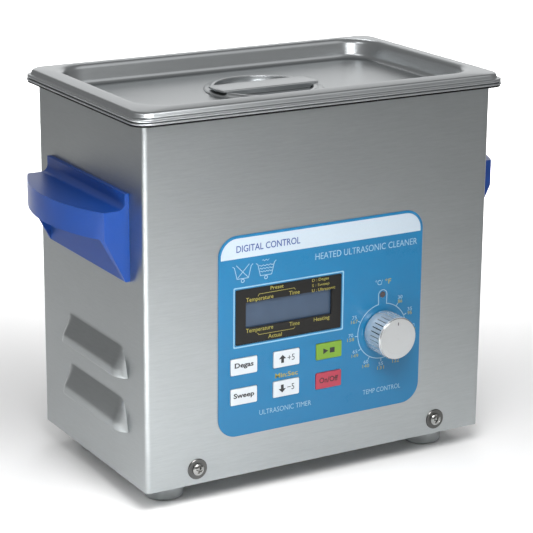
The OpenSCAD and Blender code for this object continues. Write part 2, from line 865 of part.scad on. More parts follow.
module wiring_harness() {
    top = gen_z + board_t + 0.4;
    color([0.7, 0.12, 0.1]) placed() {
        // Mains leads from the inlet to the generator board
        for (x = [0, 5]) lead([[inlet_x - 6 + 2 * x, rear_y - 26.3, inlet_z + 4],
                               [inlet_x - 6 + 2 * x, rear_y - 29, inlet_z + 4],
                               [inlet_x - 6 + 2 * x, rear_y - 32, inlet_z + 4],
                               [62 + x, 22, 42], [52 + x, 6, 46], [36, -14 - x, 42],
                               [36, -14 - x, top]], 1.4, [1, 0.5, 0.1]);
        // Leads from the board to the two transducers
        for (side = [-1, 1])
            lead([[gen_x + side * 10 + 8, gen_y + 30, top], [gen_x + side * 10 + 8, gen_y + 30, top + 8],
                  [side * 22, 34, 56], [side * 36, 36, 80], [side * 46, 30, 104],
                  [side * 50, 23.5, back_mass_top - 6]], 1.4, [side, 1.2, 0]);
        // Leads up to the front heater pad
        lead([[gen_x + 30, gen_y - 36, top], [gen_x + 30, gen_y - 36, top + 8], [16, -52, 60],
              [18, -58, 90], [19, -66, 128], [20, -72.5, 146], [20, -72.5, bath_floor + 5.4]], 0.8,
             [1, 0.3, 0]);
        // Fan lead
        lead([[gen_x - 30, gen_y + 34, top], [gen_x - 30, gen_y + 34, top + 4], [-38, 44, 37],
              [-28, 50, 38], [-20, 56, 38], [-20, 60, fan_z - 40.3]], 0.8, [0.3, 1, -0.9]);
    }
}

// ---------------------------------------------------------------- lid

module lid() {
    color([0.72, 0.74, 0.75]) placed() difference() {
        union() {
            // Rolled lip that lies on the flange
            translate([0, 0, lip_z]) linear_extrude(1.3) round_rect(rim_w - 1, rim_d - 1, 10.5);
            // Steep step up to the top rim, and the tray that dips into the bath
            translate([0, 0, lip_z]) linear_extrude(lid_step) round_rect(step_w, step_d, 8);
            translate([0, 0, tray_z - 1]) linear_extrude(tray_depth)
                round_rect(tray_w, tray_d, tray_corner);
        }
        translate([0, 0, tray_z]) linear_extrude(tray_depth + 1)
            round_rect(tray_w - 2, tray_d - 2, tray_corner - 1);
        // Hollow under the top rim, outside the tray's wall
        translate([0, 0, lip_z - 1]) linear_extrude(lid_step) difference() {
            round_rect(step_w - 2, step_d - 2, 7);
            round_rect(tray_w, tray_d, tray_corner);
        }
        translate([0, 0, tray_z - 2]) cylinder(r = dish_r + 1.2, h = 3);
    }
}

module lid_grip_dish() {
    ring_h = 2.6;
    color([0.75, 0.77, 0.78]) placed() translate([0, 0, tray_z]) rotate_extrude()
        polygon(concat(
            // Raised ring with a sloping outer edge
            [[grip_r, 0.02], [grip_r, 0.7], [grip_r - 1.6, ring_h], [dish_r, ring_h]],
            [for (a = [0 : 10 : 90]) [dish_r * cos(a), ring_h - 1 - (ring_h - 1 + grip_depth) * sin(a)]],
            [for (a = [90 : -10 : 0]) [(dish_r + 1) * cos(a), -(grip_depth + 1) * sin(a)]],
            [[dish_r + 1, 0.02]]
        ));
}

module lid_grip_bar() {
    bar_half = 10;
    bar_z = tray_z + 2.6;
    color([0.76, 0.78, 0.79]) placed() intersection() {
        translate([0, 0, bar_z - 6]) cylinder(r = grip_r - 2, h = 12);
        translate([-grip_r, 0, bar_z]) rotate([90, 0, 90]) linear_extrude(2 * grip_r)
            polygon([[-bar_half, 0], [bar_half, 0], [bar_half, 1.2], [-bar_half, 1.2]]);
    }
}

// ---------------------------------------------------------------- nodes

housing_shell();
rear_panel();
base_pan();
tank();
rim_gasket();
left_handle();
right_handle();
handle_screws();
feet();
foot_screws();
front_screws();
front_washers();
rear_screws();
panel_overlay();
display_window();
lcd_glass();
lcd_bezel();
lcd_board();
status_led();
control_board();
board_standoffs();
tact_switches();
thermostat_body();
thermostat_nut();
thermostat_capillary();
generator_board();
generator_standoffs();
heat_sink();
power_transistors();
transformer();
filter_capacitors();
transducer_front_masses();
piezo_rings();
transducer_electrodes();
transducer_back_masses();
transducer_bolts();
heater_pads();
thermal_cutout();
fan_frame();
fan_rotor();
fan_screws();
mains_inlet();
inlet_pins();
inlet_screws();
fuse_drawer();
wiring_harness();
lid();
lid_grip_dish();
lid_grip_bar();
knob_shell();
knob_insert();
thermostat_shaft();
key_degas();
key_sweep();
key_time_up();
key_time_down();
key_start_stop();
key_heater();
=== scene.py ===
"""Looks of the bench-top ultrasonic cleaner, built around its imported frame."""

import json
import logging
import math
from collections.abc import Sequence
from dataclasses import dataclass, field
from enum import Enum
from typing import Protocol

import bmesh
import bpy
from mathutils import Matrix, Vector
from mathutils.geometry import tessellate_polygon


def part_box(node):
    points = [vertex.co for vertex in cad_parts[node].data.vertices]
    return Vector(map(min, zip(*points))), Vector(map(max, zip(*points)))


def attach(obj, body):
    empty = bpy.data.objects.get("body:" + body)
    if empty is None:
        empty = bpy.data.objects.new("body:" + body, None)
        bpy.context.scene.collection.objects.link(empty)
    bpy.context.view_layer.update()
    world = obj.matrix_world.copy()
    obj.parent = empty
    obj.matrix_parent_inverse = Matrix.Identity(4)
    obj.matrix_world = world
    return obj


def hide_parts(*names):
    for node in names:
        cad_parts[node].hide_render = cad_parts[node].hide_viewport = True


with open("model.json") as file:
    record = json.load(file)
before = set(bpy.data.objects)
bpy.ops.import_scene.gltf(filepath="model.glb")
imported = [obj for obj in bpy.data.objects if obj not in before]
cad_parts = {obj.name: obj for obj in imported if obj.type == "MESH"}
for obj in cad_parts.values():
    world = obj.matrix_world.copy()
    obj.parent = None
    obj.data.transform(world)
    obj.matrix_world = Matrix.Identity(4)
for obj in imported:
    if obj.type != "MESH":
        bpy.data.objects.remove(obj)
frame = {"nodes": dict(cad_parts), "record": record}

LOG = logging.getLogger("cleaner")
MM = 0.001
SHEET = 1.0
ON_AXIS = 0.001
WELD_WITHIN = 0.004
SLIVER = 0.002
DEPTH_LESS_WIDTH = -50.0
SOFT_CREASE = 40.0
FILM_Y = 75.5
INK_THICK = 0.04

Point = tuple[float, float, float]
Flat = tuple[float, float]
Tint = tuple[float, float, float]
Path = Sequence[tuple[float, ...]]
Outlines = Sequence[Sequence[Flat]]


def housing_place() -> tuple[float, float]:
    """Finds where the housing stands.

    Returns:
        The housing's middle in y and its lower edge in z, in millimetres.
    """
    low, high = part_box("housing_shell")
    return (low.y + high.y) / 2 / MM, low.z / MM


MID_Y, BASE_Z = housing_place()


# ------------------------------------------------------------------ shader graph


class Val:
    """A socket of a shader graph that can be used in arithmetic."""

    def __init__(self, graph: "Graph", socket: bpy.types.NodeSocket) -> None:
        """Keeps the socket and the graph that it belongs to."""
        self.graph = graph
        self.socket = socket

    def _math(self, operation: str, *operands: "Val | float") -> "Val":
        """Adds one Math node.

        Args:
            operation: The node's operation.
            operands: Its values or links, in order.

        Returns:
            The node's result.
        """
        return self.graph.node(
            "ShaderNodeMath", {"operation": operation}, dict(enumerate(operands))
        )

    def __add__(self, other: "Val | float") -> "Val":
        """Sum."""
        return self._math("ADD", self, other)

    def __sub__(self, other: "Val | float") -> "Val":
        """Difference."""
        return self._math("SUBTRACT", self, other)

    def __mul__(self, other: "Val | float") -> "Val":
        """Product."""
        return self._math("MULTIPLY", self, other)

    def __pow__(self, other: "Val | float") -> "Val":
        """Power."""
        return self._math("POWER", self, other)

    def __lt__(self, other: "Val | float") -> "Val":
        """One where this value is the smaller."""
        return self._math("LESS_THAN", self, other)

    def wave(self) -> "Val":
        """Sine, moved to run from 0 to 1."""
        return self._math("SINE", self) * 0.5 + 0.5

    def clamped(self) -> "Val":
        """This value kept from 0 to 1."""
        return self.graph.node("ShaderNodeClamp", {}, {"Value": self})


Feed = Val | float | Sequence[float]


class Graph:
    """Nodes of one material, with a Principled shader at the end."""

    def __init__(self, name: str) -> None:
        """Makes the material and its shader."""
        self.material = bpy.data.materials.new(name)
        self.material.use_nodes = True
        self.tree = self.material.node_tree
        self.tree.nodes.clear()
        self.shader = self.tree.nodes.new("ShaderNodeBsdfPrincipled")
        end = self.tree.nodes.new("ShaderNodeOutputMaterial")
        self.tree.links.new(self.shader.outputs["BSDF"], end.inputs["Surface"])

    def node(
        self,
        kind: str,
        settings: dict[str, object],
        inputs: dict[str | int, Feed],
        out: str | int = 0,
    ) -> Val:
        """Adds a node.

        Args:
            kind: The node's type.
            settings: Its properties, set before its inputs.
            inputs: Values or links of its sockets.
            out: The output that is wanted.

        Returns:
            That output.
        """
        node = self.tree.nodes.new(kind)
        for key, value in settings.items():
            setattr(node, key, value)
        for key, value in inputs.items():
            self.feed(node.inputs[key], value)
        return Val(self, node.outputs[out])

    def feed(self, socket: bpy.types.NodeSocket, value: Feed) -> None:
        """Links a socket, or sets its value.

        Args:
            socket: The input to feed.
            value: A link, a number or a vector.
        """
        if isinstance(value, Val):
            self.tree.links.new(value.socket, socket)
        else:
            socket.default_value = value

    def place(self, stretch: Point = (1.0, 1.0, 1.0)) -> Val:
        """Point of the surface in millimetres, stretched.

        Args:
            stretch: Factor along each axis.

        Returns:
            The vector.
        """
        point = self.node("ShaderNodeTexCoord", {}, {}, "Object")
        return self.node(
            "ShaderNodeVectorMath",
            {"operation": "MULTIPLY"},
            {0: point, 1: tuple(s / MM for s in stretch)},
        )

    def axes(self) -> tuple[Val, Val, Val]:
        """The surface point's x, y and z, in millimetres."""
        node = self.place()
        return tuple(self.node("ShaderNodeSeparateXYZ", {}, {0: node}, k) for k in range(3))

    def noise(self, scale: float, stretch: Point = (1.0, 1.0, 1.0), detail: float = 2.0) -> Val:
        """Noise of about one feature to each 1/scale millimetres.

        Args:
            scale: Features to the millimetre.
            stretch: Factor along each axis.
            detail: Octaves.

        Returns:
            The noise, about 0.5.
        """
        return self.node(
            "ShaderNodeTexNoise",
            {},
            {"Vector": self.place(stretch), "Scale": scale, "Detail": detail, "Roughness": 0.55},
        )

    def cells(self, scale: float) -> Val:
        """Distance to the nearest of scattered points.

        Args:
            scale: Points to the millimetre.

        Returns:
            The distance.
        """
        return self.node("ShaderNodeTexVoronoi", {}, {"Vector": self.place(), "Scale": scale})

    def blend(self, amount: Val, tint: Tint, low: float, high: float) -> Val:
        """Colour between two shades of a tint.

        Args:
            amount: 0 for the first shade, 1 for the second.
            tint: The tint.
            low: Factor of the first shade.
            high: Factor of the second shade.

        Returns:
            The mixed colour.
        """
        shades = {6: (*shaded(tint, low), 1.0), 7: (*shaded(tint, high), 1.0)}
        return self.node(
            "ShaderNodeMix", {"data_type": "RGBA"}, {0: amount.clamped(), **shades}, 2
        )

    def bump(self, height: Val, depth: float, strength: float = 1.0) -> Val:
        """Normal of a surface with relief.

        Args:
            height: Relief from 0 to 1.
            depth: Depth of the relief, in millimetres.
            strength: Share of the effect.

        Returns:
            The normal.
        """
        return self.node(
            "ShaderNodeBump",
            {},
            {"Height": height, "Distance": depth * MM, "Strength": strength},
        )

    def finish(self, **sockets: Feed) -> bpy.types.Material:
        """Feeds the shader.

        Args:
            sockets: Socket names with _ for spaces, and what feeds them.

        Returns:
            The finished material.
        """
        for name, value in sockets.items():
            self.feed(self.shader.inputs[name.replace("_", " ")], value)
        return self.material


def shaded(tint: Tint, factor: float) -> Tint:
    """Tint made lighter or darker by a factor."""
    return tuple(min(1.0, max(0.0, c * factor)) for c in tint)


# ------------------------------------------------------------------ finishes


class Finish(Protocol):
    """What every finish can do."""

    def material(self, name: str) -> bpy.types.Material:
        """Makes the material."""


class Grain(Enum):
    """Direction in which steel was brushed, as the stretch of its noise."""

    LEVEL = (0.07, 0.07, 1.0)
    ALONG_X = (0.07, 1.0, 1.0)


@dataclass(frozen=True)
class BrushedSteel:
    """Stainless sheet with fine lines of brushing."""

    tint: Tint
    grain: Grain
    roughness: float = 0.3
    depth: float = 0.006
    streak: float = 0.1
    drawn: float = 0.0

    def material(self, name: str) -> bpy.types.Material:
        """Makes the material."""
        graph = Graph(name)
        fine = graph.noise(3.2, self.grain.value, 3.0)
        broad = graph.noise(0.9, self.grain.value, 2.0)
        cloud = graph.noise(0.012, (1.0, 1.0, 1.6), 2.0)
        lines = fine * 0.55 + broad * 0.45
        streak = (lines - 0.5) * 1.5 + (cloud - 0.5) * 0.5 + 0.5
        return graph.finish(
            Base_Color=graph.blend(streak, self.tint, 1 - self.streak, 1 + self.streak),
            Metallic=1.0,
            Roughness=(lines * 0.12 + cloud * 0.05 + (self.roughness - 0.085)).clamped(),
            Anisotropic=self.drawn,
            Anisotropic_Rotation=0.25,
            Normal=graph.bump(lines, self.depth, 0.7),
        )


@dataclass(frozen=True)
class TurnedMetal:
    """Metal turned in a lathe about an axis along y, with painted shade in its flutes and hollows.
    """

    tint: Tint
    centre: Flat
    roughness: float = 0.22
    pitch: float = 4.0
    depth: float = 0.006
    floor_radius: float = 0.0
    metal: float = 1.0

    def material(self, name: str) -> bpy.types.Material:
        """Makes the material."""
        graph = Graph(name)
        x, _, z = graph.axes()
        away_x, away_z = x - self.centre[0], z - self.centre[1]
        radius = (away_x * away_x + away_z * away_z) ** 0.5
        # Painted shade: inside floor_radius the colour falls to 6 % of the tint, standing in for
        # the shadow in the flutes and the hollows.
        outside_groove_shade = (radius - self.floor_radius) * 4.0
        groove = graph.node(
            "ShaderNodeTexNoise",
            {"noise_dimensions": "1D"},
            {"W": radius, "Scale": self.pitch, "Detail": 2.0},
        )
        return graph.finish(
            Base_Color=graph.blend(outside_groove_shade, self.tint, 0.06, 1.0),
            Metallic=self.metal,
            Roughness=groove * 0.1 + (self.roughness - 0.05),
            Normal=graph.bump(groove, self.depth, 0.8),
        )


@dataclass(frozen=True)
class PlainMetal:
    """Machined, plated or cast metal."""

    tint: Tint
    roughness: float = 0.25
    mottle: float = 0.08
    depth: float = 0.004

    def material(self, name: str) -> bpy.types.Material:
        """Makes the material."""
        graph = Graph(name)
        skin = graph.noise(1.6, detail=4.0)
        return graph.finish(
            Base_Color=graph.blend(skin, self.tint, 1 - self.mottle, 1 + self.mottle),
            Metallic=1.0,
            Roughness=(skin * 0.16 + (self.roughness - 0.08)).clamped(),
            Normal=graph.bump(skin, self.depth, 0.6),
        )


@dataclass(frozen=True)
class Moulded:
    """Moulded plastic or rubber with a fine skin and faint flow marks."""

    tint: Tint
    roughness: float = 0.4
    skin: float = 2.4
    depth: float = 0.02
    mottle: float = 0.08
    coat: float = 0.0
    sheen_level: float = 0.5

    def material(self, name: str) -> bpy.types.Material:
        """Makes the material."""
        graph = Graph(name)
        grit = graph.noise(self.skin, detail=3.0)
        flow = graph.noise(0.03, (1.0, 1.0, 2.2), 3.0)
        return graph.finish(
            Base_Color=graph.blend(
                flow * 0.7 + grit * 0.3, self.tint, 1 - self.mottle, 1 + self.mottle
            ),
            Roughness=(grit * 0.12 + flow * 0.08 + (self.roughness - 0.1)).clamped(),
            Specular_IOR_Level=self.sheen_level,
            Coat_Weight=self.coat,
            Coat_Roughness=0.12,
            Normal=graph.bump(grit, self.depth, 0.5),
        )


@dataclass(frozen=True)
class Ceramic:
    """Unglazed fired body with fine pores."""

    tint: Tint

    def material(self, name: str) -> bpy.types.Material:
        """Makes the material."""
        graph = Graph(name)
        pores = graph.cells(1.4)
        return graph.finish(
            Base_Color=graph.blend(pores, self.tint, 0.8, 1.1),
            Roughness=pores * 0.15 + 0.6,
            Normal=graph.bump(pores, 0.03, 0.5),
        )


@dataclass(frozen=True)
class Board:
    """Circuit board with tracks under its mask."""

    tint: Tint
    track: float = 1.9

    def material(self, name: str) -> bpy.types.Material:
        """Makes the material."""
        graph = Graph(name)
        x, y, z = graph.axes()
        lanes = (x * self.track).wave() * ((y + z) * (self.track * 0.8)).wave()
        blocks = graph.node(
            "ShaderNodeTexVoronoi",
            {"distance": "MANHATTAN", "feature": "F1"},
            {"Vector": graph.place(), "Scale": 0.14},
            "Distance",
        )
        copper = lanes * (blocks < 0.42)
        weave = graph.noise(2.2, detail=2.0)
        return graph.finish(
            Base_Color=graph.blend(copper + weave * 0.15, self.tint, 0.85, 1.7),
            Roughness=weave * 0.12 + 0.3,
            Normal=graph.bump(copper, 0.04, 0.6),
        )


@dataclass(frozen=True)
class LcdGlass:
    """Display glass over a grey-blue reflector with its dot rows just showing."""

    tint: Tint
    dot_x: float = 0.66
    dot_z: float = 0.7

    def material(self, name: str) -> bpy.types.Material:
        """Makes the material."""
        graph = Graph(name)
        x, _, z = graph.axes()
        dots = (x * (math.tau / self.dot_x)).wave() * (z * (math.tau / self.dot_z)).wave()
        tone = graph.noise(0.05, detail=2.0)
        return graph.finish(
            Base_Color=graph.blend(tone * 0.8 + dots * 0.25 - 0.02, self.tint, 0.86, 1.14),
            Roughness=tone * 0.04 + 0.12,
            Specular_IOR_Level=0.35,
        )


@dataclass(frozen=True)
class Ink:
    """Screen-printed ink, slightly uneven in its edge and gloss."""

    tint: Tint
    roughness: float = 0.45

    def material(self, name: str) -> bpy.types.Material:
        """Makes the material."""
        graph = Graph(name)
        cover = graph.noise(1.1, detail=3.0)
        return graph.finish(
            Base_Color=graph.blend(cover, self.tint, 0.93, 1.05),
            Roughness=cover * 0.12 + (self.roughness - 0.06),
            Normal=graph.bump(cover, 0.01, 0.4),
        )


STEEL: Tint = (0.4, 0.422, 0.428)
LID_STEEL: Tint = (0.455, 0.475, 0.485)
BLUE: Tint = (0.004, 0.13, 0.28)



def key_film(tint: Tint) -> Moulded:
    """Glossy film over one key."""
    return Moulded(tint, 0.34, 4.0, 0.006, 0.03, 0.2)


SLOT_FINISHES: dict[str, Finish] = {
    "housing_steel": BrushedSteel(STEEL, Grain.LEVEL, 0.32, drawn=0.65),
    "panel_steel": BrushedSteel(shaded(STEEL, 0.95), Grain.LEVEL, 0.36),
    "tank_steel": BrushedSteel(LID_STEEL, Grain.ALONG_X, 0.3, 0.004, 0.05),
    "lid_steel": BrushedSteel(LID_STEEL, Grain.ALONG_X, 0.31, 0.004, 0.05),
    "gasket_rubber": Moulded((0.006, 0.006, 0.0065), 0.6, 2.0, 0.02, 0.1, 0.0, 0.15),
    "foot_rubber": Moulded((0.33, 0.35, 0.355), 0.6, depth=0.05),
    "handle_plastic": Moulded((0.003, 0.045, 0.245), 0.33, 3.0, 0.01, 0.05, 0.0, 0.42),
    "overlay_film": Moulded(BLUE, 0.3, 4.0, 0.006, 0.03, 0.15, 0.4),
    "window_film": Moulded((0.006, 0.0055, 0.005), 0.3, 4.0, 0.003, 0.1, 0.0, 0.3),
    "display_glass": LcdGlass((0.04, 0.064, 0.105)),
    "bezel_metal": PlainMetal((0.03, 0.03, 0.032), 0.4),
    "circuit_board": Board((0.012, 0.12, 0.045)),
    "power_board": Board((0.24, 0.15, 0.05)),
    "fastener_steel": PlainMetal((0.34, 0.34, 0.33), 0.22),
    "led_lens": Moulded((0.03, 0.02, 0.024), 0.14, 3.0, 0.002, 0.1, 0.6),
    "black_plastic": Moulded((0.018, 0.018, 0.019), 0.42, depth=0.03),
    "knob_metal": PlainMetal((0.72, 0.73, 0.74), 0.1, 0.04, 0.002),
    "thermostat_metal": PlainMetal((0.5, 0.51, 0.52), 0.35),
    "copper": PlainMetal((0.6, 0.27, 0.14), 0.3),
    "electrode_brass": PlainMetal((0.62, 0.43, 0.15), 0.28),
    "front_mass_aluminium": PlainMetal((0.6, 0.61, 0.62), 0.3),
    "back_mass_steel": PlainMetal((0.33, 0.33, 0.34), 0.35),
    "ceramic": Ceramic((0.3, 0.28, 0.24)),
    "heat_sink_black": PlainMetal((0.03, 0.03, 0.032), 0.45),
    "ferrite": PlainMetal((0.06, 0.06, 0.065), 0.55, 0.2, 0.02),
    "capacitor_sleeve": Moulded((0.015, 0.02, 0.12), 0.25, coat=0.3),
    "heater_foil": Moulded((0.45, 0.12, 0.04), 0.5, 1.2, 0.06),
    "pin_metal": PlainMetal((0.6, 0.58, 0.5), 0.22),
    "wire_sleeve": Moulded((0.42, 0.02, 0.015), 0.4),
    "key_white": key_film((0.5, 0.54, 0.57)),
    "key_green": key_film((0.13, 0.26, 0.01)),
    "key_red": key_film((0.32, 0.024, 0.05)),
}


class Dresser:
    """Makes each material once and gives it to pieces."""

    def __init__(self) -> None:
        """Starts with no materials made."""
        self.made: dict[str, bpy.types.Material] = {}

    def dress(self, piece: bpy.types.Object, name: str, finish: Finish) -> None:
        """Gives a piece one material in all of its slots.

        Args:
            piece: The piece.
            name: The material's name.
            finish: What the material is like.
        """
        if name not in self.made:
            self.made[name] = finish.material(name)
        piece.data.materials.clear()
        piece.data.materials.append(self.made[name])


DRESSER = Dresser()


# ------------------------------------------------------------------ shapes, in millimetres


def arc(centre: Flat, radius: float, start: float, end: float, steps: int) -> list[Flat]:
    """Points along an arc.

    Args:
        centre: Its centre.
        radius: Its radius.
        start: First angle, in degrees.
        end: Last angle, in degrees.
        steps: Number of chords.

    Returns:
        The points, both ends included.
    """
    turns = [math.radians(start + (end - start) * k / steps) for k in range(steps + 1)]
    return [(centre[0] + radius * math.cos(a), centre[1] + radius * math.sin(a)) for a in turns]


def round_rect(half_w: float, half_h: float, radius: float, steps: int = 8) -> list[Flat]:
    """Rectangle with round corners about the origin.

    Args:
        half_w: Half of its width.
        half_h: Half of its height.
        radius: Corner radius.
        steps: Chords in each corner.

    Returns:
        Its outline, anticlockwise, always 4 * (steps + 1) points.
    """
    outline: list[Flat] = []
    for k, (sx, sy) in enumerate(((1, 1), (-1, 1), (-1, -1), (1, -1))):
        corner = (sx * (half_w - radius), sy * (half_h - radius))
        outline += arc(corner, radius, 90 * k, 90 * k + 90, steps)
    return outline


def moved(outline: Sequence[Flat], dx: float, dy: float) -> list[Flat]:
    """Outline moved by dx and dy."""
    return [(x + dx, y + dy) for x, y in outline]


def round_loop(centre: Flat, radius: float, steps: int = 32) -> list[Flat]:
    """Closed circle of chords."""
    return arc(centre, radius, 0, 360 - 360 / steps, steps - 1)


def eased(path: Path, radii: Sequence[float], steps: int = 5) -> list[tuple[float, ...]]:
    """Rounds the inner corners of a path.

    Args:
        path: Points; the first two numbers are the place, the rest are carried along.
        radii: Rounding at each inner point, 0 to keep it sharp.
        steps: Chords in each rounding.

    Returns:
        The rounded path.
    """
    out = [tuple(path[0])]
    for before, here, after, radius in zip(path, path[1:], path[2:], radii):
        p, a, b = Vector(here[:2]), Vector(before[:2]), Vector(after[:2])
        if radius <= 0:
            out.append(tuple(here))
            continue
        to_a, to_b = a - p, b - p
        half = to_a.angle(to_b) / 2
        cut = min(radius / math.tan(half), to_a.length * 0.49, to_b.length * 0.49)
        start, end = p + to_a.normalized() * cut, p + to_b.normalized() * cut
        for k in range(steps + 1):
            t = k / steps
            spot = start * (1 - t) ** 2 + p * (2 * t * (1 - t)) + end * t**2
            out.append((spot.x, spot.y, *here[2:]))
    out.append(tuple(path[-1]))
    return out


class Axis(Enum):
    """Direction in which a turned or flat shape is built up."""

    FRONT = "front"
    UP = "up"

    def place(self, centre: Point, radius: float, height: float, angle: float) -> Point:
        """Point at a radius, height and angle about the axis.

        Args:
            centre: Where the axis starts.
            radius: Distance from it.
            height: Distance along it: upwards, or forwards for FRONT.
            angle: Turn in radians.

        Returns:
            The point.
        """
        c, s = radius * math.cos(angle), radius * math.sin(angle)
        if self is Axis.UP:
            return (centre[0] + c, centre[1] + s, centre[2] + height)
        return (centre[0] + c, centre[1] - height, centre[2] + s)

    def lift(self, spot: Flat, level: float) -> Point:
        """Point of a flat outline at a level.

        Args:
            spot: The outline's two numbers: x and y, or x and z for FRONT.
            level: z for UP, y for FRONT.

        Returns:
            The point.
        """
        if self is Axis.UP:
            return (spot[0], spot[1], level)
        return (spot[0], level, spot[1])


class Blank:
    """Points and faces of a piece in the making.

    Its numbers are in millimetres, and y is counted from the housing's middle.
    """

    def __init__(self) -> None:
        """Starts empty."""
        self.points: list[Point] = []
        self.faces: list[tuple[int, ...]] = []

    def add(self, points: Sequence[Point], faces: Sequence[Sequence[int]]) -> None:
        """Adds points and the faces between them.

        Args:
            points: New points.
            faces: Faces that number them from 0.
        """
        first = len(self.points)
        self.points += [tuple(p) for p in points]
        self.faces += [tuple(first + i for i in f) for f in faces]

    def grid(
        self, rows: Sequence[Sequence[Point]], ring: bool = False, skip: Sequence[int] = ()
    ) -> None:
        """Joins rows of equal length with quads.

        Args:
            rows: The rows of points.
            ring: Whether each row closes on itself.
            skip: Rows that aren't joined to the next.
        """
        n = len(rows[0])
        faces = []
        for r in range(len(rows) - 1):
            if r in skip:
                continue
            near, far = r * n, (r + 1) * n
            for c in range(n if ring else n - 1):
                d = (c + 1) % n
                faces.append((near + c, near + d, far + d, far + c))
        self.add([p for row in rows for p in row], faces)

    def cap(self, ring: Sequence[Point]) -> None:
        """Closes a flat ring with one face."""
        self.add(ring, [tuple(range(len(ring)))])

    def turn(self, profile: Sequence[Flat], centre: Point, axis: Axis, steps: int = 64) -> None:
        """Turns a profile of radius and height about an axis.

        Args:
            profile: Radius and height of each point.
            centre: Where the axis starts.
            axis: Direction of the axis.
            steps: Facets round it.
        """
        turns = [2 * math.pi * k / steps for k in range(steps)]
        rows = [[axis.place(centre, r, h, turn) for turn in turns] for r, h in profile]
        self.grid(rows, ring=True)

    def plate(
        self, outline: Sequence[Flat], holes: Outlines, low: float, high: float, axis: Axis
    ) -> None:
        """Adds a flat plate with holes.

        Args:
            outline: Its outline.
            holes: Outlines of its holes.
            low: First face's place along the axis.
            high: Second face's place; the same as low for a single skin.
            axis: Direction in which it is thick.
        """
        loops = [outline, *holes]
        flat = [p for loop in loops for p in loop]
        tris = tessellate_polygon([[Vector((x, y, 0)) for x, y in loop] for loop in loops])
        self.add([axis.lift(p, low) for p in flat], [t[::-1] for t in tris])
        if high == low:
            return
        self.add([axis.lift(p, high) for p in flat], tris)
        for loop in loops:
            rows = [[axis.lift(p, level) for p in loop] for level in (low, high)]
            self.grid(rows, ring=True)

    def mirrored(self) -> "Blank":
        """The same shape on the other side of the middle."""
        twin = Blank()
        twin.add([(-x, y, z) for x, y, z in self.points], [f[::-1] for f in self.faces])
        return twin

    def join(self, other: "Blank") -> None:
        """Takes in another blank's points and faces."""
        self.add(other.points, other.faces)

    def piece(
        self,
        name: str,
        body: str,
        slot: str,
        replaced: Sequence[str] = (),
        finish: Finish | None = None,
        crease: float = 32.0,
        wall: float = 0.0,
    ) -> bpy.types.Object:
        """Turns the blank into a finished piece.

        Args:
            name: The piece's name.
            body: Body that it rides on.
            slot: Material slot that it takes its finish from.
            replaced: Nodes that it stands for.
            finish: Its own finish, if not the slot's.
            crease: Sharpest angle that is shaded smooth, in degrees.
            wall: Thickness to add inwards to an open skin, in millimetres.

        Returns:
            The piece.
        """
        mesh = bpy.data.meshes.new(name)
        places = [(x * MM, (y + MID_Y) * MM, z * MM) for x, y, z in self.points]
        mesh.from_pydata(places, [], self.faces)
        shape = bmesh.new()
        shape.from_mesh(mesh)
        bmesh.ops.remove_doubles(shape, verts=shape.verts, dist=WELD_WITHIN * MM)
        bmesh.ops.dissolve_degenerate(shape, edges=shape.edges, dist=SLIVER * MM)
        bmesh.ops.recalc_face_normals(shape, faces=shape.faces)
        shape.to_mesh(mesh)
        shape.free()
        piece = placed(name, mesh)
        if wall:
            skin = piece.modifiers.new("wall", "SOLIDIFY")
            skin.thickness, skin.offset = wall * MM, -1.0
            settle(piece)
        piece.data.shade_smooth()
        piece.data.set_sharp_from_angle(angle=math.radians(crease))
        DRESSER.dress(piece, name if finish else slot, finish or SLOT_FINISHES[slot])
        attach(piece, body)
        if replaced:
            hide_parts(*replaced)
        LOG.info("%s: %d faces on %s", name, len(piece.data.polygons), body)
        return piece


def placed(name: str, data: bpy.types.ID) -> bpy.types.Object:
    """Puts a new object into the scene.

    Args:
        name: Its name.
        data: Its mesh, lettering, light or camera.

    Returns:
        The object.
    """
    thing = bpy.data.objects.new(name, data)
    bpy.context.scene.collection.objects.link(thing)
    return thing


def settle(piece: bpy.types.Object) -> None:
    """Applies a piece's modifiers to its mesh."""
    depsgraph = bpy.context.evaluated_depsgraph_get()
    mesh = bpy.data.meshes.new_from_object(piece.evaluated_get(depsgraph))
    piece.modifiers.clear()
    piece.data = mesh


@dataclass(frozen=True)
class EdgeBreak:
    """Rounding of the edges of a kept node or a new piece."""

    width: float = 0.25
    segments: int = 2
    sharpest: float = 40.0

    def apply(self, node: bpy.types.Object) -> None:
        """Adds the modifiers that round and shade the edges.

        Args:
            node: The node or piece.
        """
        weld = node.modifiers.new("weld", "WELD")
        weld.merge_threshold = SLIVER * MM
        edge = node.modifiers.new("edges", "BEVEL")
        edge.width = self.width * MM
        edge.segments = self.segments
        edge.limit_method = "ANGLE"
        edge.angle_limit = math.radians(self.sharpest)
        edge.harden_normals = True


# ------------------------------------------------------------------ finer pieces and print


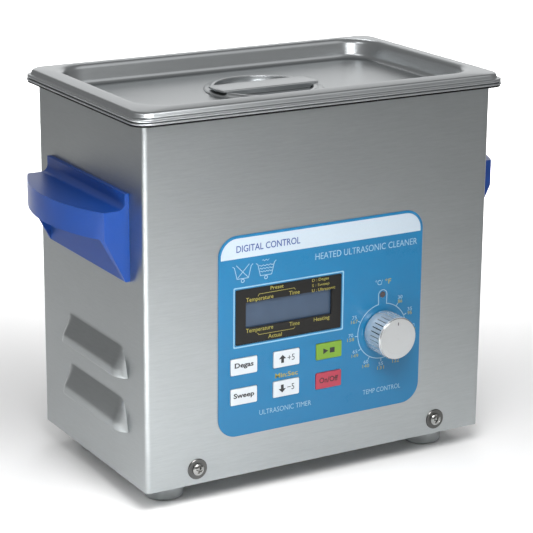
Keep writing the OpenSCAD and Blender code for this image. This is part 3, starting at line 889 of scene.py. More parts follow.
@dataclass
class Louvre:
    """One pressed louvre of a side wall."""

    mouth: float
    height: float
    half: float = 45.0
    taper: float = 6.0
    out: float = 6.4
    lip: float = 5.8
    end: float = 9.0
    soft: float = 0.9
    curl: float = 0.5
    curl_tall: float = 0.8

    def levels(self) -> list[float]:
        """Heights above the mouth at which the hood is shaped."""
        h = self.height
        low = [0.0, 0.3, 0.8, 2.0, 3.5, 4.6, 5.2, 5.6, 6.0, 6.4, 6.9, 7.6]
        return low + [h * 0.52, h * 0.64, h * 0.76, h - 2.2, h - 1.3, h - 0.7, h - 0.3, h]

    def reach(self, level: float) -> float:
        """How far the hood's middle stands out.

        Args:
            level: Height above the mouth.

        Returns:
            The distance in millimetres.
        """
        slope = self.out * (self.height - level) / (self.height - self.lip)
        mix = max(0.0, self.soft - abs(slope - self.out)) / self.soft
        curl = self.curl * max(0.0, 1 - level / self.curl_tall) ** 2
        return max(0.0, min(slope, self.out) - mix * mix * self.soft / 4 - curl)

    def half_length(self, level: float) -> float:
        """Half of the hood's length at a height above the mouth."""
        return self.half - self.taper * level / self.height

    def fade(self, inset: float) -> float:
        """Share of the reach at a distance in from the hood's end."""
        if inset <= 0:
            return 0.0
        t = min(1.0, inset / self.end)
        return 0.45 * math.sqrt(1 - (1 - t) ** 2) + 0.55 * t * (2 - t)


@dataclass
class Housing:
    """Folded steel box with its louvres."""

    half_w: float = 125.0
    half_d: float = 75.0
    top: float = 247.2
    bend: float = 3.0
    margin: float = 0.4
    plain_half: float = 42.0
    rear_return: float = 12.0
    louvre_mid: float = -6.0
    louvres: tuple[Louvre, ...] = (Louvre(47.8, 20.2), Louvre(83.3, 18.7))
    insets: tuple[float, ...] = (
        -1.5, 0.0, 0.15, 0.5, 1.1, 2.0, 3.0, 4.2, 5.6, 7.2, 8.4, 9.4, 11.0
    )

    def rows(self) -> list[tuple[float, Louvre | None, float]]:
        """Levels of the side wall.

        Returns:
            For each row its z, the louvre that it belongs to and the height above its mouth.
        """
        rows: list[tuple[float, Louvre | None, float]] = [(BASE_Z, None, 0.0)]
        for louvre in self.louvres:
            rows.append((louvre.mouth - 3.0, louvre, 0.0))
            rows.append((louvre.mouth, louvre, 0.0))
            rows += [(louvre.mouth + t, louvre, t) for t in louvre.levels()]
            rows.append((louvre.mouth + louvre.height + 2.0, louvre, louvre.height))
        rows.append((self.top, None, 0.0))
        return rows

    def levels(self) -> list[float]:
        """The rows' levels, each once."""
        return sorted({z for z, _, _ in self.rows()})

    def side(self) -> Blank:
        """Right wall with its louvres.

        Returns:
            The open skin, between the two bends.
        """
        blank = Blank()
        rows: list[list[Point]] = []
        skip: list[int] = []
        edge = self.half_d - self.bend - self.margin
        shaped = None
        for number, (z, louvre, level) in enumerate(self.rows()):
            hood = louvre is not None and louvre is shaped
            if louvre is not None and not hood and z == louvre.mouth:
                skip.append(number)
                shaped = louvre
            half = louvre.half_length(level) if louvre else self.plain_half
            reach = louvre.reach(level) if hood else 0.0
            spots = [(i - half, louvre.fade(i) if hood else 0.0) for i in self.insets]
            spots += [(0.0, 1.0), *((-y, share) for y, share in spots[::-1])]
            row = [(self.half_w + reach * share, self.louvre_mid + y, z) for y, share in spots]
            rows.append([(self.half_w, -edge, z), *row, (self.half_w, edge, z)])
        blank.grid(rows, skip=skip)
        return blank

    def corner(self, back: bool) -> Blank:
        """Bend between the right wall and the front or the rear.

        Args:
            back: Whether it is the rear bend.

        Returns:
            The open skin of the bend and its flat margins.
        """
        blank = Blank()
        centre = (self.half_w - self.bend, self.half_d - self.bend)
        plan = [(self.half_w, centre[1] - self.margin)]
        plan += arc(centre, self.bend, 0, 90, 8)
        plan.append((centre[0] - self.margin, self.half_d))
        if back:
            plan.append((self.half_w - self.rear_return, self.half_d))
        side = 1 if back else -1
        blank.grid([[(x, side * y, z) for x, y in plan] for z in self.levels()])
        return blank

    def front(self, holes: Outlines) -> Blank:
        """Front wall with its openings.

        Args:
            holes: Outlines of the openings in x and z.

        Returns:
            The open skin.
        """
        edge = self.half_w - self.bend - self.margin
        levels = self.levels()
        outline = [(edge, z) for z in levels] + [(-edge, z) for z in reversed(levels)]
        blank = Blank()
        blank.plate(outline, holes, -self.half_d, -self.half_d, Axis.FRONT)
        return blank

    def build(self, holes: Outlines) -> None:
        """Makes the folded shell and the edge that carries the tank.

        Args:
            holes: Openings of the front wall.
        """
        half = self.side()
        half.join(self.corner(False))
        half.join(self.corner(True))
        shell = self.front(holes)
        shell.join(half)
        shell.join(half.mirrored())
        steel = "housing_steel"
        shell.piece("housing_shell_sheet", "cleaner", steel, ["housing_shell"], wall=SHEET)
        edge = Blank()
        outline = round_rect(self.half_w - 1.2, self.half_d - 1.2, 2.0)
        opening = round_rect(121.2, 71.2, 24.5)
        edge.plate(outline, [opening], self.top - SHEET, self.top, Axis.UP)
        edge.piece("housing_top_edge", "cleaner", steel)


def pressed(blank: Blank, path: Path, steps: int = 12) -> list[list[Point]]:
    """Adds a pressing whose section follows a path.

    Args:
        blank: The blank to add it to.
        path: Half width, z and corner radius of each ring.
        steps: Chords in each corner.

    Returns:
        The rings, for the caps.
    """
    rings = [
        [(x, y, z) for x, y in round_rect(half, half + DEPTH_LESS_WIDTH, radius, steps)]
        for half, z, radius in path
    ]
    blank.grid(rings, ring=True)
    return rings


@dataclass
class Tank:
    """Drawn bath with its rolled flange, and the seal under it."""

    section: Path = (
        (96, 149.6, 2), (120, 149.6, 23.5), (120, 249.6, 23.5), (133, 249.6, 11),
        (133, 248.4, 11), (121, 248.4, 24.5), (121, 148.6, 24.5), (96, 148.6, 2),
    )
    fillets: Sequence[float] = (6.5, 2.2, 0.58, 0.58, 1.0, 7.0)
    bead: Path = (
        (121.3, 247.2, 24.2), (132.3, 247.2, 10.4), (132.3, 248.4, 10.4), (121.3, 248.4, 24.2)
    )

    def build(self) -> None:
        """Makes the bath and its seal."""
        bath = Blank()
        rings = pressed(bath, eased(self.section, self.fillets))
        bath.cap(rings[0])
        bath.cap(rings[-1])
        bath.piece("tank_pressing", "cleaner", "tank_steel", ["tank"], crease=SOFT_CREASE)
        seal = Blank()
        rings = pressed(seal, self.bead)
        seal.grid([rings[-1], rings[0]], ring=True)
        seal.piece(
            "rim_gasket_bead", "cleaner", "gasket_rubber", ["rim_gasket"], crease=SOFT_CREASE
        )


@dataclass
class Lid:
    """Lift-off lid with its tray, dished grip and bar."""

    section: Path = (
        (60, 243.3, 10), (115.5, 243.3, 19), (118.5, 257.1, 22), (129.8, 255.4, 9.9),
        (130.7, 252.2, 10.2), (132.5, 252.2, 10.5), (132.5, 249.8, 10.5), (129.4, 249.8, 8.6),
        (128.0, 254.2, 8.0), (119.5, 255.7, 23), (116.5, 242.3, 20), (60, 242.3, 10),
    )
    fillets: Sequence[float] = (4.0, 4.2, 1.9, 0.9, 1.05, 1.05, 0.3, 1.0, 1.2, 5.0)
    floor: float = 243.3
    hole: float = 33.4
    ring_r: float = 39.0
    ring_tall: float = 2.6
    dish_r: float = 32.0
    dish_depth: float = 13.0
    bar_half: float = 10.0
    bar_reach: float = 37.0
    bar_top: float = 1.2
    bar_drop: float = 2.4
    drop_reach: float = 31.0

    def pan(self) -> None:
        """Makes the lid's pressing."""
        blank = Blank()
        rings = pressed(blank, eased(self.section, self.fillets))
        circles = []
        for end in (rings[0], rings[-1]):
            away = [math.hypot(x, y) for x, y, _ in end]
            circle = [(x / r * self.hole, y / r * self.hole, z) for (x, y, z), r in zip(end, away)]
            blank.grid([end, circle], ring=True)
            circles.append(circle)
        blank.grid(circles, ring=True)
        blank.piece("lid_pressing", "lid", "lid_steel", ["lid"], crease=SOFT_CREASE)

    def dish(self) -> None:
        """Makes the ring round the grip and its dish."""
        top, brim = self.ring_tall, self.ring_tall - 0.9
        bowl = [
            (self.dish_r * math.cos(a), brim - (brim + self.dish_depth) * math.sin(a))
            for a in (math.radians(5 * k) for k in range(1, 19))
        ]
        under = [
            ((self.dish_r + SHEET) * math.cos(a), -(self.dish_depth + SHEET) * math.sin(a))
            for a in (math.radians(90 - 5 * k) for k in range(18))
        ]
        profile = eased(
            [(self.ring_r, 0.02), (self.ring_r, 0.5), (self.ring_r - 0.9, 1.1),
             (self.ring_r - 3.6, 1.7), (self.ring_r - 5.0, top), (self.dish_r, top), bowl[0]],
            [0.3, 0.4, 0.8, 0.8, 0.7],
            4,
        )
        profile += bowl[1:] + under + [(self.dish_r + SHEET, 0.02), (self.ring_r, 0.02)]
        blank = Blank()
        blank.turn(profile, (0, 0, self.floor), Axis.UP, 96)
        blank.piece("grip_dish_pressing", "lid", "lid_steel", ["lid_grip_dish"], crease=50.0)

    def bar(self) -> None:
        """Makes the bar across the dish, with its long edges turned down over it."""
        low, half, drop = self.floor + self.ring_tall, self.bar_half, self.bar_drop
        section = eased(
            [(-half, -drop), (-half, self.bar_top), (half, self.bar_top), (half, -drop)],
            [1.1, 1.1],
        )
        inner = [(y - math.copysign(SHEET, y), max(-drop, h - SHEET)) for y, h in section]
        blank = Blank()
        rows = []
        for k in range(-14, 15):
            x = self.bar_reach * math.sin(math.pi / 2 * k / 14)
            across = min(1.0, math.sqrt(max(0.0, self.bar_reach**2 - x**2)) / half)
            turned = min(1.0, max(0.0, (self.drop_reach - abs(x)) / 2.0))
            loop = [*section, *inner[::-1]]
            rows.append([(x, y * across, low + (h if h > 0 else h * turned)) for y, h in loop])
        blank.grid(rows, ring=True)
        blank.cap(rows[0])
        blank.cap(rows[-1])
        blank.piece("grip_bar_strip", "lid", "lid_steel", ["lid_grip_bar"], crease=SOFT_CREASE)

    def build(self) -> None:
        """Makes the lid's three parts."""
        self.pan()
        self.dish()
        self.bar()


@dataclass
class Handle:
    """Moulded cup handles of the two sides."""

    wall_x: float = 125.0
    half: float = 56.0
    cheek: float = 3.0
    plate: float = 3.0
    tall: float = 55.0
    hood: float = 45.0
    band: float = 28.0
    corner: float = 17.0
    reach: float = 31.0
    fillet: float = 4.5
    lower: float = 132.0
    boss_y: float = 36.0
    boss_z: float = 170.0

    def out(self, y: float) -> float:
        """How far the hood stands out at a place along the handle.

        Args:
            y: Distance from the handle's middle.

        Returns:
            Distance from the wall.
        """
        rise = self.reach - self.corner
        bow = (self.half**2 + rise**2) / (2 * rise)
        return self.reach - bow + math.sqrt(bow**2 - y**2)

    def section(self, y: float, hollow: bool) -> list[Point]:
        """Outline of the handle across its length.

        Args:
            y: Distance from the handle's middle.
            hollow: Whether the cup is open here, or filled by a cheek.

        Returns:
            The closed ring of points.
        """
        out = self.out(y)
        rim, roof = out - self.cheek, self.hood - self.cheek
        if hollow:
            under = [(self.plate, 0.0), (self.plate, roof), ((self.plate + rim) / 2, roof),
                     (rim, roof), (rim, self.band), (out, self.band)]
        else:
            shares = (0, 0.2, 0.4, 0.6, 0.8, 1)
            under = [(self.plate + (out - self.plate) * t, self.band * t) for t in shares]
        fillet, plate, tall = self.fillet, self.plate, self.tall
        seat = arc((plate + fillet, self.hood + fillet), fillet, 270, 180, 6)
        outline = [(0.0, 0.0), *under, (out, self.hood), *seat, (plate, tall), (0.0, tall)]
        return [(self.wall_x + x, y, BASE_Z + self.lower + z) for x, z in outline]

    def bosses(self, blank: Blank) -> None:
        """Adds the two screw bosses under the hood.

        Args:
            blank: The handle so far.
        """
        for y in (-self.boss_y, self.boss_y):
            rows = []
            for radius, x in ((1.8, 2.8), (1.8, 12.5), (4.5, 12.5), (4.5, 2.8), (1.8, 2.8)):
                circle = round_loop((y, BASE_Z + self.boss_z), radius)
                rows.append([(self.wall_x + x, *spot) for spot in circle])
            blank.grid(rows, ring=True)

    def build(self) -> None:
        """Makes both handles."""
        edge = self.half - self.cheek
        spots = [(-self.half, False), (-edge, False), (-edge, True)]
        spots += [(edge * k / 10, True) for k in range(-9, 10)]
        spots += [(edge, True), (edge, False), (self.half, False)]
        blank = Blank()
        rows = [self.section(y, hollow) for y, hollow in spots]
        blank.grid(rows, ring=True)
        blank.cap(rows[0][::-1])
        blank.cap(rows[-1])
        self.bosses(blank)
        for node, shape in (("right_handle", blank), ("left_handle", blank.mirrored())):
            name = f"{node}_moulding"
            piece = shape.piece(name, "cleaner", "handle_plastic", [node], crease=30.0)
            EdgeBreak(0.7, 3).apply(piece)


@dataclass
class Knob:
    """Turned knob on the thermostat's shaft."""

    x: float = 45.4
    z: float = 94.0
    radius: float = 14.0
    front: float = 94.4
    back: float = 75.8
    flutes: int = 30
    flute_steps: int = 8
    flute_depth: float = 0.8
    bore: float = 3.1

    def turned(self, blank: Blank, profile: Sequence[Flat], steps: int) -> None:
        """Turns a profile about the knob's axis.

        Args:
            blank: The blank to add it to.
            profile: Radius and y in front of the housing's middle.
            steps: Facets round it.
        """
        blank.turn(profile, (self.x, 0, self.z), Axis.FRONT, steps)

    def metal(self, level: float, *settings: float) -> TurnedMetal:
        """Grey turned finish about the knob's axis.

        Args:
            level: Its red, with a little more green and blue.
            settings: The finish's other settings.

        Returns:
            The finish.
        """
        tint = (level, level + 0.015, level + 0.02)
        return TurnedMetal(tint, (self.x, self.z), *settings)

    def shell(self) -> None:
        """Makes the knob's body with its flutes."""
        r, front, back = self.radius, self.front, self.back
        profile = (
            (11.9, front - 0.85, 0), (12.0, front - 0.3, 0), (13.2, front - 0.3, 0),
            (13.55, front - 0.35, 0), (13.9, front - 0.8, 0), (r, front - 1.2, 0),
            (r, front - 1.7, 0), (r, front - 2.0, 0.55), (r, front - 2.4, 1.0),
            (r, front - 7.0, 1.0), (r, front - 11.4, 1.0), (r, front - 12.2, 0.55),
            (r, front - 12.8, 0), (r, front - 13.5, 0), (r, back + 1.0, 0),
            (13.8, back + 0.3, 0), (13.4, back, 0), (12.2, back, 0),
        )
        steps = self.flutes * self.flute_steps
        blank = Blank()
        rows = []
        for radius, out, cut in profile:
            row = []
            for k in range(steps):
                fluted = k % self.flute_steps == self.flute_steps // 2
                reach = radius - self.flute_depth * cut if fluted else radius
                turn = 2 * math.pi * k / steps
                row.append(Axis.FRONT.place((self.x, 0, self.z), reach, out, turn))
            rows.append(row)
        blank.grid(rows, ring=True)
        inside = [(12.2, back), (11.8, back + 12), (5.6, back + 12), (5.6, back + 0.6),
                  (self.bore, back + 0.6), (self.bore, back + 14.0), (ON_AXIS, back + 14.0)]
        self.turned(blank, inside, steps)
        self.turned(blank, [(11.9, front - 0.85), (ON_AXIS, front - 0.85)], steps)
        # Its finish paints shade into the flutes and the hollows inside r - 0.55.
        bright_with_groove_shade = self.metal(0.7, 0.24, 4.0, 0.001, r - 0.55, 0.7)
        blank.piece("knob_shell_turned", "knob", "knob_metal", ["knob_shell"], bright_with_groove_shade, 38.0)

    def face(self) -> None:
        """Makes the face insert and its mark."""
        front = self.front
        blank = Blank()
        profile = [(ON_AXIS, front - 0.8), (11.8, front - 0.8), (11.8, front - 0.28),
                   (13.35, front - 0.28), (13.35, front - 0.15), (13.15, front),
                   (6.0, front - 0.05), (ON_AXIS, front - 0.07)]
        self.turned(blank, profile, 96)
        satin = self.metal(0.56, 0.3, 9.0, 0.004)
        blank.piece("knob_face_insert", "knob", "knob_metal", ["knob_insert"], satin, 20.0)
        mark = Blank()
        outline = moved(round_rect(0.4, 1.1, 0.35, 4), self.x, self.z + 10.0)
        mark.plate(outline, [], -front, -front + 0.15, Axis.FRONT)
        mark.piece("knob_mark", "knob", "knob_metal", finish=Ink((0.1, 0.1, 0.11)))

    def build(self) -> None:
        """Makes the knob's parts."""
        self.shell()
        self.face()


@dataclass
class Screws:
    """Domed cross-head screws of the front, with their washers."""

    x: float = 89.5
    z: float = 25.0
    head_r: float = 4.0
    rise: float = 2.5
    recess: float = 0.55
    recess_deep: float = 1.3
    recess_turn: float = 0.4
    shank_r: float = 1.85
    shank: float = 5.2
    washer_r: float = 6.7
    washer_tall: float = 0.8
    hole_r: float = 2.0
    wall_y: float = 75.0
    steps: int = 64
    shares: tuple[float, ...] = (
        1.0, 1.0, 0.985, 0.94, 0.86, 0.75, 0.6, 0.5, 0.42, 0.34, 0.26, 0.18, 0.1, 0.02
    )

    def sunk(self, radius: float, turn: float) -> float:
        """Depth of the cross recess.

        Args:
            radius: Distance from the screw's axis.
            turn: Angle about it, in radians.

        Returns:
            The depth, 0 outside the recess.
        """
        arm = turn + self.recess_turn
        across = radius * min(abs(math.cos(arm)), abs(math.sin(arm)))
        inside = self.head_r * self.recess - radius
        if inside <= 0 or across >= self.recess:
            return 0.0
        side = min(1.0, (self.recess - across) / 0.25)
        return self.recess_deep * side * min(1.0, inside / 0.4)

    def head(self, blank: Blank, x: float) -> None:
        """Adds one domed head with a cross recess.

        Args:
            blank: The blank to add it to.
            x: Place of the screw.
        """
        seat, foot = self.wall_y + self.washer_tall, self.wall_y - self.shank
        rows = []
        for number, share in enumerate(self.shares):
            radius = self.head_r * share
            dome = 0.28 + 0.72 * math.sqrt(max(0.0, 1 - (radius / self.head_r) ** 2))
            top = seat + (self.rise * dome if number else 0.0)
            turns = [2 * math.pi * k / self.steps for k in range(self.steps)]
            rows.append([
                Axis.FRONT.place((x, 0, self.z), radius, top - self.sunk(radius, turn), turn)
                for turn in turns
            ])
        blank.grid(rows, ring=True)
        shank = [(self.head_r, seat), (self.shank_r, seat), (self.shank_r, foot), (ON_AXIS, foot)]
        blank.turn(shank, (x, 0, self.z), Axis.FRONT, self.steps)
        blank.cap(rows[-1])

    def build(self) -> None:
        """Makes the screws and washers of the front."""
        heads, washers = Blank(), Blank()
        low, top = self.wall_y, self.wall_y + self.washer_tall
        r, hole = self.washer_r, self.hole_r
        section = [(hole, low), (r, low), (r, low + 0.45), (r - 0.35, top), (hole, top),
                   (hole, low)]
        for x in (-self.x, self.x):
            self.head(heads, x)
            washers.turn(section, (x, 0, self.z), Axis.FRONT, self.steps)
        dull = PlainMetal((0.11, 0.11, 0.107), 0.3)
        for blank, name, node, finish in (
            (heads, "front_screw_heads", "front_screws", None),
            (washers, "front_screw_washers", "front_washers", dull),
        ):
            blank.piece(name, "cleaner", "fastener_steel", [node], finish, 42.0)


class Tone(Enum):
    """Inks of the panel's print, with their colours."""

    WHITE = (0.24, 0.37, 0.47)
    BAND = (0.41, 0.48, 0.54)
    PALE = (0.2, 0.37, 0.5)
    YELLOW = (0.28, 0.25, 0.045)
    NAVY = (0.03, 0.06, 0.22)
    BLACK = (0.012, 0.012, 0.014)
    MAROON = (0.05, 0.008, 0.012)


@dataclass
class Print:
    """Ink of one colour on one surface."""

    name: str
    tone: Tone
    body: str = "cleaner"
    slot: str = "overlay_film"
    level: float = FILM_Y
    blank: Blank = field(default_factory=Blank)

    def shape(self, outline: Sequence[Flat], holes: Outlines = ()) -> None:
        """Adds a flat printed shape.

        Args:
            outline: Its outline in x and z above the housing's lower edge.
            holes: Outlines of its holes.
        """
        self.blank.plate(
            moved(outline, 0, BASE_Z),
            [moved(h, 0, BASE_Z) for h in holes],
            -self.level,
            -self.level - INK_THICK,
            Axis.FRONT,
        )

    def line(self, path: Sequence[Flat], width: float = 0.4, closed: bool = False) -> None:
        """Adds a printed line.

        Args:
            path: Its points.
            width: Its width.
            closed: Whether it comes back to its start.
        """
        spots = [Vector(p) for p in path]
        count = len(spots)
        left, right = [], []
        for k, spot in enumerate(spots):
            before = spots[(k - 1) % count] if closed or k else spot
            after = spots[(k + 1) % count] if closed or k < count - 1 else spot
            one, two = (spot - before).normalized(), (after - spot).normalized()
            one, two = (one if one.length else two), (two if two.length else one)
            way = (one + two).normalized()
            reach = width / 2 / max(0.35, way.dot(one))
            side = Vector((-way.y, way.x)) * reach
            left.append(tuple(spot + side))
            right.append(tuple(spot - side))
        if closed:
            self.shape(left, [right])
        else:
            self.shape(left + right[::-1])

    def words(
        self, text: str, x0: float, x1: float, z0: float, z1: float, bold: float = 0.0
    ) -> None:
        """Adds lettering that fills a box.

        Args:
            text: The words.
            x0: Left edge.
            x1: Right edge.
            z0: Lower edge, with any tails.
            z1: Upper edge.
            bold: Thickening of the strokes.
        """
        curve = bpy.data.curves.new("words", "FONT")
        curve.body = text
        curve.offset = bold
        curve.resolution_u = 3
        holder = placed("words", curve)
        depsgraph = bpy.context.evaluated_depsgraph_get()
        mesh = bpy.data.meshes.new_from_object(holder.evaluated_get(depsgraph))
        spots = [v.co.copy() for v in mesh.vertices]
        faces = [tuple(p.vertices) for p in mesh.polygons]
        edges: dict[tuple[int, int], tuple[int, int]] = {}
        for face in faces:
            for a, b in zip(face, face[1:] + face[:1]):
                key = (min(a, b), max(a, b))
                edges[key] = (-1, -1) if key in edges else (a, b)
        low_x, high_x = min(s.x for s in spots), max(s.x for s in spots)
        low_y, high_y = min(s.y for s in spots), max(s.y for s in spots)
        flat = [
            (x0 + (s.x - low_x) / (high_x - low_x) * (x1 - x0),
             BASE_Z + z0 + (s.y - low_y) / (high_y - low_y) * (z1 - z0))
            for s in spots
        ]
        n = len(flat)
        back = [Axis.FRONT.lift(p, -self.level) for p in flat]
        fore = [Axis.FRONT.lift(p, -self.level - INK_THICK) for p in flat]
        walls = [(a, b, b + n, a + n) for a, b in edges.values() if a >= 0]
        fronts = [tuple(i + n for i in f) for f in faces]
        self.blank.add(back + fore, [f[::-1] for f in faces] + fronts + walls)
        bpy.data.objects.remove(holder)
        bpy.data.curves.remove(curve)
        bpy.data.meshes.remove(mesh)

    def captions(self, *rows: tuple[str, float, float, float, float, float]) -> None:
        """Adds several captions, each with the arguments of words."""
        for row in rows:
            self.words(*row)

    def make(self) -> None:
        """Makes the piece."""
        self.blank.piece(self.name, self.body, self.slot, finish=Ink(self.tone.value))


@dataclass
class Panel:
    """Openings and print of the control panel."""

    column_x: tuple[float, ...] = (-56.9, -26.2, 5.2)
    row_z: tuple[float, ...] = (72.5, 52.8)
    key_half: Flat = (9.4, 5.3)
    window: Flat = (-24.5, 104.3)
    dial: Flat = (45.4, 79.0)
    led: Flat = (45.4, 103.5)
    screw: Flat = (89.5, 10.0)
    key_face: float = 75.9
    clearance: float = 0.3
    first_tick: float = 35.0
    tick_step: float = 29.1
    ticks: int = 10
    ring_r: float = 18.4
    tick: float = 2.2
    number_r: float = 23.7
    first_celsius: int = 30
    celsius_step: int = 5

    def holes(self) -> list[list[Flat]]:
        """Openings of the housing's front wall, in x and z.

        Returns:
            Their outlines.
        """
        outlines = [moved(round_rect(38.5, 18.0, 1.0, 4), *self.window)]
        half_w, half_h = (half + self.clearance for half in self.key_half)
        key = round_rect(half_w, half_h, 1.0, 4)
        outlines += [moved(key, x, z) for x in self.column_x for z in self.row_z]
        x, z = self.screw
        for spot, radius in ((self.dial, 4.85), (self.led, 2.1), ((x, z), 2.1), ((-x, z), 2.1)):
            outlines.append(round_loop(spot, radius))
        return [moved(outline, 0.0, BASE_Z) for outline in outlines]

    def band(self) -> None:
        """Prints the pale band along the top of the panel."""
        band = Print("print_band", Tone.BAND)
        top, low, half, corner = 155.3, 142.4, 73.3, 11.3
        outline = [(-half, low), (half, low)]
        outline += arc((half - corner, top - corner), corner, 0, 90, 12)
        outline += arc((corner - half, top - corner), corner, 90, 180, 12)
        band.shape(outline)
        band.make()
        title = Print("print_title", Tone.NAVY, level=FILM_Y + INK_THICK)
        title.words("DIGITAL CONTROL", -62.5, -17.0, 146.2, 150.6, 0.012)
        title.make()

    def captions(self) -> None:
        """Prints the white captions, the tank signs and the dial's ring."""
        ink = Print("print_white", Tone.WHITE)
        ink.captions(
            ("HEATED ULTRASONIC CLEANER", -5.7, 70.8, 133.8, 138.0, -0.006),
            ("ULTRASONIC TIMER", -45.4, -7.4, 37.7, 41.0, -0.006),
            ("TEMP CONTROL", 31.8, 61.0, 37.4, 40.6, -0.006),
            ("°C/", 39.6, 45.0, 110.2, 113.7, 0.0),
        )
        self.tank_sign(ink, -57.9, True)
        self.tank_sign(ink, -41.4, False)
        self.scale_ring(ink)
        for celsius, x, z in self.scale():
            ink.words(str(celsius), x - 1.75, x + 1.75, z + 0.25, z + 2.55)
        ink.make()

    def turns(self) -> list[float]:
        """Angles of the dial's marks, clockwise from the top."""
        return [self.first_tick + self.tick_step * k for k in range(self.ticks)]

    def scale(self) -> list[tuple[int, float, float]]:
        """Each mark's degrees Celsius, and the x and z of its numbers."""
        return [
            (self.first_celsius + self.celsius_step * k, *self.on_dial(self.number_r, turn))
            for k, turn in enumerate(self.turns())
        ]

    def on_dial(self, radius: float, degrees: float) -> Flat:
        """Place on the panel at a radius and a clockwise angle from the top of the dial."""
        angle = math.radians(degrees)
        return self.dial[0] + radius * math.sin(angle), self.dial[1] + radius * math.cos(angle)

    def tank_sign(self, ink: Print, x: float, crossed: bool) -> None:
        """Prints a sign of a tank, empty and crossed out or filled.

        Args:
            ink: The print to add it to.
            x: Its middle.
            crossed: Whether it is the empty, crossed-out tank.
        """
        z = 129.4
        tub = [(-7.2, 8.2), (-5.9, 7.4), (-4.0, 0.0), (4.0, 0.0), (5.9, 7.4), (7.2, 8.6)]
        ink.line(moved(tub, x, z), 0.45)
        drain = (x, z - 1.5)
        ink.shape(round_loop(drain, 1.3, 24), [round_loop(drain, 0.8, 24)])
        if crossed:
            for side in (1, -1):
                ink.line([(x - side * 4.6, z + 8.8), (x + side * 3.6, z + 0.6)], 0.45)
            return
        for k, half in enumerate((5.2, 4.6, 4.1)):
            start, level = x - half, z + 6.3 - 1.9 * k
            ink.line(
                [(start + 2 * half * t / 16, level + 0.35 * math.sin(t * 1.6)) for t in range(17)]
            )
        ink.line([(x - 2.6 + 0.4 * t, z + 9.6 + 0.4 * math.sin(t * 1.2)) for t in range(13)], 0.35)

    def scale_ring(self, ink: Print) -> None:
        """Prints the ring round the knob, its keyhole round the lamp, and the marks."""
        radius, neck, head = self.ring_r, 3.1, 3.2
        side = math.degrees(math.asin(neck / radius))
        ring_line = [self.on_dial(radius, side + (360 - 2 * side) * k / 96) for k in range(97)]
        top = arc(self.led, head, 180, 0, 12)
        ink.line([*ring_line, *top], 0.5, closed=True)
        for degrees in self.turns():
            ends = [self.on_dial(radius, degrees), self.on_dial(radius + self.tick, degrees)]
            ink.line(ends, 0.5)

    def yellow(self) -> None:
        """Prints the yellow captions."""
        ink = Print("print_yellow", Tone.YELLOW)
        ink.words("°F", 47.2, 51.6, 110.2, 113.7, 0.01)
        ink.words("Min:Sec", -34.2, -17.6, 60.2, 63.4, 0.014)
        for celsius, x, z in self.scale():
            fahrenheit = str(round(celsius * 1.8 + 32))
            half = 0.85 * len(fahrenheit)
            ink.words(fahrenheit, x - half, x + half, z - 2.55, z - 0.25)
        ink.make()

    def window_print(self) -> None:
        """Prints the display's frame and the captions round its glass."""
        border = Print("print_frame", Tone.PALE)
        centre, half_w, half_h, width = (-24.4, 104.3), 40.0, 19.6, 0.85
        outer = moved(round_rect(half_w, half_h, 0.9, 5), *centre)
        inner = moved(round_rect(half_w - width, half_h - width, 0.5, 5), *centre)
        border.shape(outer, [inner])
        border.make()
        ink = Print("print_window", Tone.YELLOW, slot="window_film")
        ink.captions(
            ("Preset", -38.1, -28.7, 119.2, 121.6, 0.004),
            ("Temperature", -55.4, -36.0, 112.8, 116.3, 0.004),
            ("Time", -24.6, -17.0, 113.6, 116.2, 0.004),
            ("D : Degas", -7.9, 4.3, 119.2, 121.6, 0.0),
            ("S : Sweep", -7.9, 4.9, 115.9, 118.2, 0.0),
            ("U : Ultrasonic", -7.9, 9.2, 113.0, 115.0, 0.0),
            ("Temperature", -55.4, -36.0, 92.8, 96.3, 0.004),
            ("Time", -24.2, -16.7, 93.2, 95.8, 0.004),
            ("Heating", -6.3, 5.3, 92.7, 95.9, 0.004),
            ("Actual", -39.5, -29.7, 87.8, 90.4, 0.004),
        )
        ink.line([(-47.0, 116.3), (-46.2, 117.7), (-21.0, 117.9), (-20.1, 116.7)], 0.32)
        ink.line([(-47.2, 92.4), (-46.2, 91.3), (-21.0, 91.2), (-20.1, 92.2)], 0.32)
        ink.make()

    def key_ink(self, body: str, slot: str, tone: Tone) -> Print:
        """Ink on one key's face.

        Args:
            body: The key's body.
            slot: The key's material slot.
            tone: The ink.

        Returns:
            The empty print.
        """
        return Print(f"legend_{body}", tone, body, slot, self.key_face)

    def legends(self) -> None:
        """Prints each key's legend, which moves with the key."""
        (left, middle, right), (high, low) = self.column_x, self.row_z
        for body, text, x0, x1, z0, z1 in (
            ("degas_key", "Degas", left - 6.7, left + 6.8, high - 1.7, high + 2.6),
            ("sweep_key", "Sweep", left - 7.4, left + 7.4, low - 1.9, low + 2.4),
        ):
            ink = self.key_ink(body, "key_white", Tone.BLACK)
            ink.words(text, x0, x1, z0, z1, 0.028)
            ink.make()
        stem, wing, head, tail = 1.0, 2.7, 2.7, -2.6
        arrow = [(-wing, 0.1), (-stem, 0.1), (-stem, tail), (stem, tail), (stem, 0.1), (wing, 0.1),
                 (0.0, head)]
        x = middle - 2.9
        for body, z, sign, text in (
            ("time_up_key", high, 1, "+5"), ("time_down_key", low, -1, "−5")
        ):
            ink = self.key_ink(body, "key_white", Tone.BLACK)
            ink.shape([(x + across, z + sign * up) for across, up in arrow])
            ink.words(text, x + 3.6, x + 8.8, z - 1.8, z + 2.2)
            ink.make()
        ink = self.key_ink("start_stop_key", "key_green", Tone.BLACK)
        for sign in ([(-4.3, -1.9), (-0.5, 0.0), (-4.3, 1.9)],
                     [(0.6, -1.7), (4.2, -1.7), (4.2, 1.7), (0.6, 1.7)]):
            ink.shape(moved(sign, right, high))
        ink.make()
        ink = self.key_ink("heater_key", "key_red", Tone.MAROON)
        ink.words("On/Off", right - 6.9, right + 7.2, low - 1.7, low + 2.1, 0.025)
        ink.make()

